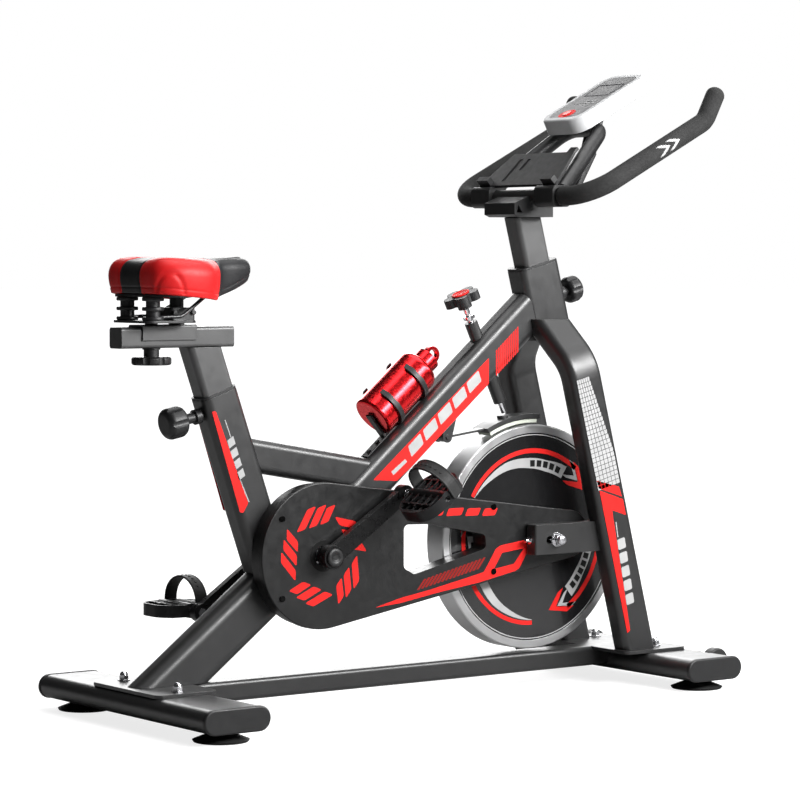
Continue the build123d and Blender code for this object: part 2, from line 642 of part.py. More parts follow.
def brake_arm():
    """The leaf from the pivot to the curved shoe that carries the felt pad."""
    shoe = slab(sector(PAD_OUT, SHOE_OUT, PAD_FROM, PAD_TO), -20, 20)
    joint = along(AXLE, PAD_TO - 1.5, SHOE_OUT - 3.5)
    leaf = bar(PIVOT, joint, 20, 4, 1)
    arm = shoe + leaf + rod(PIVOT, 8, -10, 10)
    seat = along(AXLE, bearing(AXLE, ROD_END), SHOE_OUT - 1)
    arm += stick((seat[0], 0, seat[1]), (seat[0], 0, seat[1] + 4), 9)
    arm -= rod(PIVOT, 4 + RUNNING, -20, 20)
    return arm - slab(sector(100, PAD_OUT, 60, 150), -60, 60)


def brake_pad():
    return slab(sector(PAD_IN, PAD_OUT, PAD_FROM + 1, PAD_TO - 1), -17, 17)


# Seat



def seat_bushing():
    outer = bar(seat_point(70), seat_point(0), SEAT_WIDE - 2 * TUBE_WALL, SEAT_TALL - 2 * TUBE_WALL, 11.5)
    outer += bar(seat_point(0), seat_point(-4), SEAT_WIDE - 1, SEAT_TALL - 1, 13)
    outer -= bar(seat_point(80), seat_point(-10), POST_WIDE + 0.8, POST_TALL + 0.8, 9.4)
    return outer - pin_hole(SEAT_PIN, SEAT_KNOB_ANGLE)


def mast_bushing():
    outer = bar(head_point(60), head_point(0), 44, 75, 9)
    outer += bar(head_point(0), head_point(-4), HEAD_WIDE - 1, HEAD_TALL - 1, 11)
    outer -= bar(head_point(70), head_point(-10), MAST_WIDE + 0.8, MAST_TALL + 0.8, 9.4)
    return outer - pin_hole(HEAD_PIN, HEAD_KNOB_ANGLE)


def post_bushings():
    return Part() + [seat_bushing(), mast_bushing()]


def seat_post():
    top = seat_point(-(SLIDER_LOW - SEAT_TOP[1]) / cos(radians(SEAT_LEAN)) - 14)
    post = tube(seat_point(188), top, POST_WIDE, POST_TALL, 9)
    return post - Pos(0, 0, SLIDER_LOW + 50) * Box(600, 200, 100)


def seat_slider():
    """The level box tube on top of the seat post, slotted for the carriage screw."""
    mid, tall = (SLIDER_LOW + SLIDER_HIGH) / 2, SLIDER_HIGH - SLIDER_LOW
    tube_body = bar((SLIDER[0], mid), (SLIDER[1], mid), 2 * SLIDER_HALF, tall, 5)
    tube_body -= bar((SLIDER[0] + 3, mid), (SLIDER[1] + 3, mid), 2 * SLIDER_HALF - 5, tall - 5, 2.5)
    slot = Pos(FORE_KNOB_X - 5, 0, mid) * extrude(SlotOverall(110, 10.5), 30, both=True)
    return tube_body - slot


def saddle_carriage():
    """The channel that rides over the slider tube and carries the saddle's stub post."""
    mid = (CARRIAGE[0] + CARRIAGE[1]) / 2
    long = CARRIAGE[1] - CARRIAGE[0]
    top = SLIDER_HIGH + 3.4
    half = SLIDER_HALF + 3.0
    body = Pos(mid, 0, top - 12) * Box(long, 2 * half, 24)
    body = fillet(body.edges().filter_by(Axis.X).sort_by(Axis.Z)[-2:], 3)
    body -= Pos(mid, 0, SLIDER_HIGH + 0.4 - 50) * Box(long + 2, 2 * SLIDER_HALF + 0.8, 100)
    body += Pos(STUB_X, 0, top + 13.3) * Cylinder(STUB_R, 26.6)
    body += Pos(FORE_KNOB_X, 0, top + 4) * Cylinder(10, 8)
    return body - Pos(FORE_KNOB_X, 0, top - 10) * Cylinder(4 + RUNNING, 30)


def fore_aft_knob():
    """The knob under the slider whose screw clamps the carriage."""
    low = SLIDER_LOW
    knob = Pos(0, 0, low - 20) * Cylinder(31, 13)
    knob = fillet(knob.edges(), 4)
    for step in range(8):
        knob -= Pos(0, 0, low - 20) * Rot(0, 0, 45 * step) * Pos(35, 0, 0) * Cylinder(7, 30)
    knob += Pos(0, 0, low - 9) * Cylinder(12, 14)
    knob += Pos(0, 0, low - 1.4) * Cylinder(14, 2)
    knob += Pos(0, 0, low + 10) * Cylinder(4, 42)
    return Pos(FORE_KNOB_X, 0, 0) * knob


def saddle_clamp():
    """The clamp block on the stub post, with its spring carrier plate and two bolts."""
    low = SLIDER_HIGH + 8
    block = Pos(STUB_X, 0, low + 12) * Box(46, 40, 20)
    block = fillet(block.edges().filter_by(Axis.Z), 6)
    plate = Pos(10, 0, low + 0.5) * Box(92, 112, 4)
    plate = fillet(plate.edges().filter_by(Axis.Z), 14)
    bolts = [stick((STUB_X + x, -25, low + 14), (STUB_X + x, 25, low + 14), 3.5) for x in (-17, 17)]
    clamp = block + plate + bolts
    return clamp - Pos(STUB_X, 0, low + 10) * Cylinder(STUB_R, 60) - Pos(FORE_KNOB_X, 0, low) * Cylinder(11, 20)


SPRING_SPOTS = ((-16.0, -38.0), (-16.0, 38.0))
SPRING_R, DISC_TALL = 17.0, 6.0


def saddle_springs():
    """Two stacks of rubber discs between the carrier plate and the pan, and a post under the nose."""
    low = SLIDER_HIGH + 8 + 2.5
    tall = PAN_LOW - low
    stacks = []
    for x, y in SPRING_SPOTS:
        stack = Pos(x, y, low + tall / 2) * Cylinder(SPRING_R - 6, tall)
        for level in (DISC_TALL / 2, tall / 2, tall - DISC_TALL / 2):
            disc = Cylinder(SPRING_R, DISC_TALL)
            stack += Pos(x, y, low + level) * fillet(disc.edges(), 1.8)
        stacks.append(stack)
    stacks.append(Pos(STUB_X, 0, (low + 19.5 + PAN_LOW) / 2) * Cylinder(11, PAN_LOW - low - 19.5))
    return Part() + stacks


def saddle_outline(share=1.0):
    """The seat's plan: wide wings behind, a narrow rounded nose in front."""
    side = [(-35, 40), (-31, 70), (-10, 88), (25, 93), (62, 85), (90, 62), (112, 36), (150, 27), (176, 16)]
    points = [(-35, 0)] + side + [(182, 0)] + [(x, -y) for x, y in reversed(side)]
    middle = 74
    points = [(middle + (x - middle) * share, y * share) for x, y in points]
    return make_face(Spline(*points, periodic=True))


def saddle_pan():
    pan = Pos(0, 0, PAN_LOW) * extrude(saddle_outline(0.92), SADDLE_LOW - PAN_LOW)
    return pan - Pos(NOSE_FROM + 100, 0, PAN_LOW) * Box(200, 200, 40)


def saddle_pad():
    """The padded seat: a skirt hangs round the wings, and the nose rises ahead of the pan."""
    pad = Pos(0, 0, SKIRT_LOW) * extrude(saddle_outline(), SADDLE_HIGH - SKIRT_LOW)
    rim = pad.edges().filter_by(lambda e: e.center().Z > SADDLE_HIGH - 0.1)
    pad = fillet(rim, 16)
    pad -= Pos(0, 0, SADDLE_LOW - 60) * extrude(saddle_outline(0.94), 60)
    low = SKIRT_LOW - 5
    nose_cut = Polygon((70, low), (200, low), (200, NOSE_LOW), (NOSE_FROM, SADDLE_LOW), align=None)
    hem = Polygon((-60, low), (110, low), (110, SKIRT_LOW), (-60, SADDLE_LOW + 2), align=None)
    return pad - slab(nose_cut, -120, 120) - slab(hem, -120, 120)


def pin_knob(neck, grip_at, radius, long):
    """A pull knob drawn along +Z: a plunger, a threaded neck and a fluted round grip."""
    body = Pos(0, 0, grip_at / 2) * Cylinder(4, grip_at)
    body += Pos(0, 0, neck + 5) * Cylinder(12, 10)
    body += Pos(0, 0, (neck + grip_at) / 2) * Cylinder(8.5, grip_at - neck)
    grip = Pos(0, 0, grip_at) * Cylinder(radius, long)
    grip = fillet(grip.edges(), long * 0.3)
    for step in range(6):
        grip -= Pos(0, 0, grip_at) * Rot(0, 0, 60 * step) * Pos(radius + 5.5, 0, 0) * Cylinder(8, 2 * long)
    return body + grip


def seat_height_knob():
    return side_plane(SEAT_KNOB_START, SEAT_KNOB_ANGLE) * pin_knob(SEAT_KNOB_NECK, 55, 25, 36)


def bar_height_knob():
    return side_plane(HEAD_KNOB_START, HEAD_KNOB_ANGLE) * pin_knob(HEAD_KNOB_NECK, 43, 22.5, 26)


# Handlebar


def mast_point(distance):
    return head_point(-distance)


MAST_REACH = (MAST_TOP - HEAD_TOP[1]) / cos(radians(HEAD_LEAN))


def handlebar_post():
    return tube(head_point(112), mast_point(MAST_REACH), MAST_WIDE, MAST_TALL, 9)


def bar_corners(side):
    """The corners of one half of the bar, from its bend to its raised tip."""
    spots = ((BAR_X, BAR_Z), BAR_KNEE, BAR_TIP)
    return [(x, side * BAR_SIDE, z) for x, z in spots]


def bar_path():
    """The centre line of the whole bar, tip to tip."""
    corners = bar_corners(-1)[::-1] + bar_corners(1)
    return FilletPolyline(*corners, radius=(34, 58, 58, 34))


def grip_path(start_y):
    """The centre line of the near half of the bar, from beside the clamp to its tip."""
    return FilletPolyline((BAR_X, -start_y, BAR_Z), *bar_corners(-1), radius=(58, 34))


def swept_round(path, radius):
    plane = Plane(origin=path @ 0, z_dir=path % 0)
    return sweep(plane * Circle(radius), path=path)


def horn_path():
    """The raised loop in the middle of the bar: two arms that lean inwards to a rounded end."""
    return FilletPolyline(
        (BAR_X + 12, -SLEEVE_Y - 12, BAR_Z + 10),
        (HORN_TIP[0], -46, HORN_TIP[1]),
        (HORN_TIP[0], 46, HORN_TIP[1]),
        (BAR_X + 12, SLEEVE_Y + 12, BAR_Z + 10),
        radius=34,
    )


def handlebar():
    """The steel bar: a level middle and two arms with raised tips."""
    return swept_round(bar_path(), BAR_R) - swept_round(bar_path(), BAR_R - 2)


def foam_grips():
    """A foam sleeve with a rounded end over each half of the bar."""
    end = Pos(BAR_TIP[0], -BAR_SIDE, BAR_TIP[1]) * Sphere(GRIP_R)
    start = SLEEVE_Y + SLEEVE_LONG / 2
    grip = swept_round(grip_path(start + 1), GRIP_R) + end
    return both_sides(grip - swept_round(grip_path(start - 10), BAR_R + 0.1))


def bar_clamp():
    """The cradle on the post that holds the bar, with a hollow gusset on the rider's side."""
    low = MAST_TOP - 5
    profile = Polygon(
        (BAR_X - 44, low + 4), (BAR_X - 34, low), (BAR_X + 38, low), (BAR_X + 38, BAR_Z - 14),
        (BAR_X + 22, BAR_Z), (BAR_X - 16, BAR_Z), (BAR_X - 44, BAR_Z - 11),
        align=None,
    )
    hollow = Polygon(
        (BAR_X - 39, low + 7), (BAR_X - 27, low + 7), (BAR_X - 36, low + 20), align=None
    )
    clamp = slab(profile, -CRADLE_HALF, CRADLE_HALF) - slab(hollow, -80, 80)
    clamp -= rod((BAR_X, BAR_Z), BAR_R, -80, 80)
    return clamp - bar(head_point(0), mast_point(MAST_REACH), MAST_WIDE, MAST_TALL, 9)


def horn():
    return swept_round(horn_path(), HORN_R)


def rack_plate():
    """The sloping plate between the arms, with two grooves, an ear and two stop blocks."""
    outline = Polygon(
        (0, -104), (PLATE_LONG, -80), (PLATE_LONG, 80), (0, 104), align=None
    )
    plate = Pos(0, 0, -2.5) * extrude(outline, 5)
    plate += Pos(PLATE_LONG, -70, 0) * Box(24, 18, 5)
    plate -= Pos(38, 47, 2.5) * Box(56, 9, 4)
    plate -= Pos(52, 25, 2.5) * Box(28, 9, 4)
    for y in (-86, 86):
        plate += Pos(5, y, 7) * Box(10, 30, 14)
    return Pos(BAR_X - 6, 0, BAR_Z + 18) * Rot(0, -PLATE_TILT, 0) * plate


def device_rack():
    """The padded horn, the two sleeves that it grows from, and the plate between its arms."""
    sleeve = Pos(BAR_X, -SLEEVE_Y, BAR_Z) * Box(38, SLEEVE_LONG, 36)
    sleeve = fillet(sleeve.edges().filter_by(Axis.Y), 9)
    rack = horn() + both_sides(sleeve) + rack_plate()
    return rack - rod((BAR_X, BAR_Z), BAR_R, -200, 200)


def console_plane():
    """Console coordinates: x along its length from the rider's end, z out of its face."""
    return Pos(CONSOLE_FROM[0], 0, CONSOLE_FROM[1]) * Rot(0, -CONSOLE_TILT, 0)


def console_housing():
    half, long, thick = CONSOLE_HALF, CONSOLE_LONG, CONSOLE_THICK
    shell = Pos(long / 2, 0, thick / 2) * Box(long, 2 * half, thick)
    shell = fillet(shell.edges().filter_by(Axis.Z), 26)
    shell = fillet(shell.edges().filter_by(lambda e: e.center().Z > thick - 0.1), 4)
    shell -= Pos(long / 2, 0, thick) * extrude(RectangleRounded(long - 22, 2 * half - 22, 18), -2.5)
    return console_plane() * (shell - Pos(26, 0, thick - 2) * Cylinder(8.4, 12))


def console_face():
    half, long, thick = CONSOLE_HALF, CONSOLE_LONG, CONSOLE_THICK
    face = extrude(RectangleRounded(long - 22, 2 * half - 22, 18), 2.4)
    return console_plane() * (Pos(long / 2, 0, thick - 2.5) * face - Pos(26, 0, thick) * Cylinder(8.4, 12))


def console_button():
    return console_plane() * Pos(26, 0, CONSOLE_THICK - 1.5) * Cylinder(8, 6)


def console_bracket():
    """The strut that carries the console from the clamp, in front of the horn."""
    spots = ((BAR_X + 26, BAR_Z - 20), (838, 838), (874, 898), (900, 992))
    strut = Part()
    for start, end in zip(spots, spots[1:]):
        strut += bar(start, along(end, bearing(start, end), 5), 34, 12, 4)
    box = console_plane() * Pos(CONSOLE_LONG / 2, 0, 50) * Box(CONSOLE_LONG + 20, 160, 100)
    return (strut - box - bar_clamp() - device_rack()).solids().sort_by(SortBy.VOLUME)[-1]


# Bottle

MAIN_ANGLE = bearing(CRANK, MAIN_END)


def cage_point(distance, lift):
    """A point on the main tube's top face, lifted off it."""
    foot = along(CRANK, MAIN_ANGLE, distance)
    return along(foot, MAIN_ANGLE + 90, MAIN_TALL / 2 + lift)


CAGE_SCREWS = (202.0, 224.0)


def bottle_at(distance, radius, long):
    """A round length on the bottle's axis, measured from its base."""
    return extrude(side_plane(along(BOTTLE_FROM, MAIN_ANGLE, distance), MAIN_ANGLE) * Circle(radius), long)


def bottle_body():
    """A thin-walled bottle with a domed shoulder and an open neck."""
    barrel = bottle_at(0, BOTTLE_R, BOTTLE_LONG)
    ends = barrel.edges().filter_by(GeomType.CIRCLE).sort_by(Axis.Z)
    barrel = fillet(ends[0], 5)
    barrel = fillet(barrel.edges().filter_by(GeomType.CIRCLE).sort_by(Axis.Z)[-1], 14)
    body = barrel + bottle_at(BOTTLE_LONG - 3, 16.5, 12)
    body -= bottle_at(5, BOTTLE_R - 2, BOTTLE_LONG - 19)
    return body - bottle_at(20, 13, BOTTLE_LONG)


def bottle_cap():
    """The screw cap with its carrying loop."""
    cap = bottle_at(BOTTLE_LONG + 0.6, 20.5, 19)
    cap += rod(along(BOTTLE_FROM, MAIN_ANGLE, BOTTLE_LONG + 28), 14, -4, 4)
    cap -= rod(along(BOTTLE_FROM, MAIN_ANGLE, BOTTLE_LONG + 29), 8, -6, 6)
    return cap - bottle_at(BOTTLE_LONG - 5, 17, 15)


def bottle_cage():
    """A foot strip on the main tube, a stop and two open hoops that hold the bottle."""
    keep = BOTTLE_R + 0.6
    cage = bar(cage_point(190, 1.3), cage_point(346, 1.3), 18, 2.6, 1)
    cage += bar(stop_point(-38.4), stop_point(8), 14, 4, 1)
    for start in (26, 88):
        ring = Circle(keep + 4) - Circle(keep) - Pos(0, 60) * Rectangle(46, 80)
        ring -= Pos(0, -keep - 22.5) * Rectangle(100, 40)
        cage += extrude(side_plane(along(BOTTLE_FROM, MAIN_ANGLE, start), MAIN_ANGLE) * ring, 9)
    for distance in CAGE_SCREWS:
        foot, top = cage_point(distance, -2), cage_point(distance, 6)
        cage -= stick((foot[0], 0, foot[1]), (top[0], 0, top[1]), 4)
    return cage


def stop_point(lift):
    """A point on the line of the cage's stop, just behind the bottle's base."""
    return along(along(BOTTLE_FROM, MAIN_ANGLE, -3), MAIN_ANGLE + 90, lift)


NODES = {
    "rear_stabiliser": lambda: stabiliser(0, REAR_STAB_HALF),
    "front_stabiliser": front_stabiliser,
    "end_caps": end_caps,
    "base_beam": base_beam,
    "level_feet": level_feet,
    "transport_wheel_right": transport_wheel,
    "transport_wheel_left": lambda: mirrored(transport_wheel()),
    "rear_leg": rear_leg,
    "main_tube": main_tube,
    "seat_tube": seat_tube,
    "link_tube": link_tube,
    "head_tube": head_tube,
    "fork_legs": lambda: both_sides(fork_leg()),
    "bottom_bracket_shell": bottom_bracket_shell,
    "bearings": bearings,
    "dropout_brackets": lambda: both_sides(dropout_bracket()),
    "axle_hardware": axle_hardware,
    "guard_outer": guard_outer,
    "guard_inner": guard_inner,
    "frame_fasteners": frame_fasteners,
    "drive_belt": drive_belt,
    "crank_spindle": crank_spindle,
    "drive_pulley": drive_pulley,
    "crank_arms": crank_arms,
    "pedal_axles": lambda: Part() + [pedal_axle(CRANK_TIP, -1), pedal_axle(CRANK_TAIL, 1)],
    "pedal_right": lambda: pedal(CRANK_TIP, -PEDAL_Y, PEDAL_PITCH),
    "pedal_left": lambda: pedal(CRANK_TAIL, PEDAL_Y, 0),
    "toe_strap_right": lambda: toe_strap(CRANK_TIP, -PEDAL_Y, PEDAL_PITCH),
    "toe_strap_left": lambda: toe_strap(CRANK_TAIL, PEDAL_Y, 0),
    "flywheel_disc": flywheel_disc,
    "flywheel_covers": flywheel_covers,
    "tension_rod": tension_rod,
    "tension_knob": tension_knob,
    "brake_mount": brake_mount,
    "brake_arm": brake_arm,
    "brake_pad": brake_pad,
    "post_bushings": post_bushings,
    "seat_post": seat_post,
    "seat_slider": seat_slider,
    "saddle_carriage": saddle_carriage,
    "fore_aft_knob": fore_aft_knob,
    "saddle_clamp": saddle_clamp,
    "saddle_springs": saddle_springs,
    "saddle_pan": saddle_pan,
    "saddle_pad": saddle_pad,
    "seat_height_knob": seat_height_knob,
    "bar_height_knob": bar_height_knob,
    "handlebar_post": handlebar_post,
    "handlebar": handlebar,
    "foam_grips": foam_grips,
    "bar_clamp": bar_clamp,
    "device_rack": device_rack,
    "console_bracket": console_bracket,
    "console_housing": console_housing,
    "console_face": console_face,
    "console_button": console_button,
    "bottle_cage": bottle_cage,
    "bottle_body": bottle_body,
    "bottle_cap": bottle_cap,
}


def main():
    os.makedirs("parts", exist_ok=True)
    shapes = {name: make() for name, make in NODES.items()}
    boxes = [shape.bounding_box() for shape in shapes.values()]
    middle = (min(box.min.X for box in boxes) + max(box.max.X for box in boxes)) / 2
    print("the origin is at X =", round(middle, 3), "in drawing coordinates")
    for name, shape in shapes.items():
        export_step(Pos(-middle, 0, 0) * shape, f"parts/{name}.step")


if __name__ == "__main__":
    main()
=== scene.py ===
import json
import math

import bmesh
import bpy
from mathutils import Matrix, Vector
from mathutils.geometry import tessellate_polygon


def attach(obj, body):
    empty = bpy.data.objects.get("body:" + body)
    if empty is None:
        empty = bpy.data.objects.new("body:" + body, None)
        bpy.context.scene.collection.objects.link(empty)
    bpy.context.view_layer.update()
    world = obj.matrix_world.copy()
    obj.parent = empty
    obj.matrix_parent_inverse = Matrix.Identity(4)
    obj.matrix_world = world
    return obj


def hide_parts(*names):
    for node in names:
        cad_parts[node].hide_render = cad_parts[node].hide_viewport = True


# Looks of the indoor spin bike. Pieces are written in millimetres in the model's drawing frame, whose
# X = 0 lies over the rear stabiliser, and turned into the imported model's frame in metres by at().

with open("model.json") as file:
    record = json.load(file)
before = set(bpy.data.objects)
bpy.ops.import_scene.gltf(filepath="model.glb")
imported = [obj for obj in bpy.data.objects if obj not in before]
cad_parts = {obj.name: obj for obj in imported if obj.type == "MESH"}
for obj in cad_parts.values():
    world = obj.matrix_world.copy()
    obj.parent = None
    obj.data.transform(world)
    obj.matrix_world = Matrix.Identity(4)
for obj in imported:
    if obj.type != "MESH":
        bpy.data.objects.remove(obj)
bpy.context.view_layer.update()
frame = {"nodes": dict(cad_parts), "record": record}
nodes = frame["nodes"]

ORIGIN_X = 493.0
MM = 0.001

# Places (x, z), angles and heights that pieces are set on, in the drawing frame
CRANK = (285, 251)
AXLE = (738, 255)
GUARD_FACE = -60.0
MAIN_TUBE_ANGLE = 40.07
SEAT_TUBE_TOP = (118, 511.5)
SEAT_TUBE_ANGLE = -70.7
FORK_FOOT = (912, 50)
FORK_ANGLE = 104.4
CONSOLE = (818, 932)
CONSOLE_TILT = 27.5
CONSOLE_LIFT = 26.9
TENSION_TOP = (608, 652)
TENSION_FOOT = (682.5, 491)
GRIP_RADIUS = 16.0


def at(x, y, z):
    """A drawing point in millimetres as a row-frame point in metres."""
    return Vector(((x - ORIGIN_X) * MM, y * MM, z * MM))


# Camera, floor and light


# Metres and watts: a light is its name, place, target, size and power, and a lobe is its direction,
# the cosines at which it starts and is full, and its strength.
CAMERA_PLACE = (-2.9876, -4.0958, 0.7283)
CAMERA_TARGET = (-0.0142, 0.0, 0.4915)
CAMERA_LENS = 139.3
LIGHTS = (
    ("side", (0.85, -1.9, 1.42), (-0.2, 0, 0.95), (2.7, 0.4), 118),
    ("low_side", (0.5, -1.6, 1.1), (-0.45, 0, 0.6), (0.6, 0.5), 14),
    ("back", (1.5, 2.5, 1.5), (0, 0, 0.5), (2.4, 1.6), 70),
    ("top", (0.6, -0.2, 3.6), (0, 0, 0), (3.0, 3.0), 120),
)
WORLD_BASE = 0.05
WORLD_LOBES = (
    ((0.59, -0.81, 0.5), 0.6, 1.0, 0.3),
    ((0.5, -0.5, 1.0), 0.6, 1.0, 0.4),
    ((0.59, 0.81, 0.1), 0.8, 1.0, 1.1),
)
FLOOR_RADIUS = 60.0
FLOOR_DROP = 0.0005


def add_camera():
    camera = bpy.data.objects.new("camera", bpy.data.cameras.new("camera"))
    bpy.context.scene.collection.objects.link(camera)
    camera.data.lens = CAMERA_LENS
    camera.data.sensor_width = 36.0
    camera.data.clip_end = 200.0
    place = Vector(CAMERA_PLACE)
    target = Vector(CAMERA_TARGET)
    camera.location = place
    camera.rotation_euler = (target - place).to_track_quat("-Z", "Y").to_euler()
    bpy.context.scene.camera = camera


def add_light(name, place, target, size, power):
    data = bpy.data.lights.new(name, "AREA")
    data.shape = "RECTANGLE"
    data.size, data.size_y = size
    data.energy = power
    light = bpy.data.objects.new(name, data)
    bpy.context.scene.collection.objects.link(light)
    light.location = place
    light.visible_camera = False
    light.rotation_euler = (Vector(target) - Vector(place)).to_track_quat("-Z", "Y").to_euler()
    return light


def world_lobe(tree, direction, start, end, strength):
    """A soft patch of light in one direction of the world."""
    coords = tree.nodes.new("ShaderNodeTexCoord")
    dot = tree.nodes.new("ShaderNodeVectorMath")
    dot.operation = "DOT_PRODUCT"
    dot.inputs[1].default_value = Vector(direction).normalized()
    tree.links.new(coords.outputs["Generated"], dot.inputs[0])
    ramp = tree.nodes.new("ShaderNodeMapRange")
    ramp.interpolation_type = "SMOOTHERSTEP"
    ramp.inputs["From Min"].default_value = start
    ramp.inputs["From Max"].default_value = end
    ramp.inputs["To Max"].default_value = strength
    tree.links.new(dot.outputs["Value"], ramp.inputs["Value"])
    return ramp.outputs["Result"]


def add_world():
    """White paper for the camera, and soft light from the front right, above and the front left."""
    world = bpy.data.worlds.new("studio")
    bpy.context.scene.world = world
    world.use_nodes = True
    tree = world.node_tree
    background = tree.nodes["Background"]
    total = None
    for direction, start, end, strength in WORLD_LOBES:
        lobe = world_lobe(tree, direction, start, end, strength)
        if total is None:
            total = lobe
            continue
        add = tree.nodes.new("ShaderNodeMath")
        tree.links.new(total, add.inputs[0])
        tree.links.new(lobe, add.inputs[1])
        total = add.outputs["Value"]
    base = tree.nodes.new("ShaderNodeMath")
    base.inputs[1].default_value = WORLD_BASE
    tree.links.new(total, base.inputs[0])
    tree.links.new(base.outputs["Value"], background.inputs["Strength"])
    paper = tree.nodes.new("ShaderNodeBackground")
    mix = tree.nodes.new("ShaderNodeMixShader")
    path = tree.nodes.new("ShaderNodeLightPath")
    tree.links.new(path.outputs["Is Camera Ray"], mix.inputs["Fac"])
    tree.links.new(background.outputs["Background"], mix.inputs[1])
    tree.links.new(paper.outputs["Background"], mix.inputs[2])
    tree.links.new(mix.outputs["Shader"], tree.nodes["World Output"].inputs["Surface"])
    background.inputs["Color"].default_value = (1, 1, 1, 1)
    paper.inputs["Color"].default_value = (1, 1, 1, 1)


def add_studio():
    bpy.context.scene.view_settings.view_transform = "Standard"
    add_world()
    for light in LIGHTS:
        add_light(*light)
    add_floor()


def add_floor():
    """A pale floor that the camera sees as white paper, a little brighter far from the object."""
    mesh = bpy.data.meshes.new("floor")
    bm = bmesh.new()
    bmesh.ops.create_circle(bm, cap_ends=True, segments=96, radius=FLOOR_RADIUS)
    bm.to_mesh(mesh)
    floor = bpy.data.objects.new("floor", mesh)
    bpy.context.scene.collection.objects.link(floor)
    floor.location.z = -FLOOR_DROP
    paper = bpy.data.materials.new("studio_paper")
    paper.use_nodes = True
    shader = paper.node_tree.nodes["Principled BSDF"]
    shader.inputs["Base Color"].default_value = (0.35, 0.35, 0.35, 1)
    shader.inputs["Roughness"].default_value = 0.9
    shader.inputs["Specular IOR Level"].default_value = 0.0
    shader.inputs["Emission Color"].default_value = (1, 1, 1, 1)
    far = paper.node_tree.nodes.new("ShaderNodeMapRange")
    far.interpolation_type = "SMOOTHSTEP"
    for key, value in (("From Min", 1.2), ("From Max", 5.0), ("To Min", 0.8), ("To Max", 1.1)):
        far.inputs[key].default_value = value
    coords = paper.node_tree.nodes.new("ShaderNodeTexCoord")
    length = paper.node_tree.nodes.new("ShaderNodeVectorMath")
    length.operation = "LENGTH"
    paper.node_tree.links.new(coords.outputs["Object"], length.inputs[0])
    paper.node_tree.links.new(length.outputs["Value"], far.inputs["Value"])
    path = paper.node_tree.nodes.new("ShaderNodeLightPath")
    seen = paper.node_tree.nodes.new("ShaderNodeMath")
    seen.operation = "MULTIPLY"
    paper.node_tree.links.new(far.outputs["Result"], seen.inputs[0])
    paper.node_tree.links.new(path.outputs["Is Camera Ray"], seen.inputs[1])
    paper.node_tree.links.new(seen.outputs["Value"], shader.inputs["Emission Strength"])
    mesh.materials.append(paper)


# Materials

# Fasteners above BASE_TOP, in metres, are blackened. The saddle's red panels are in millimetres.
BASE_TOP = 0.12
PANEL_RUN = (30, 95)
PANEL_EDGE = (29, 37)
PANEL_FRONT = 98

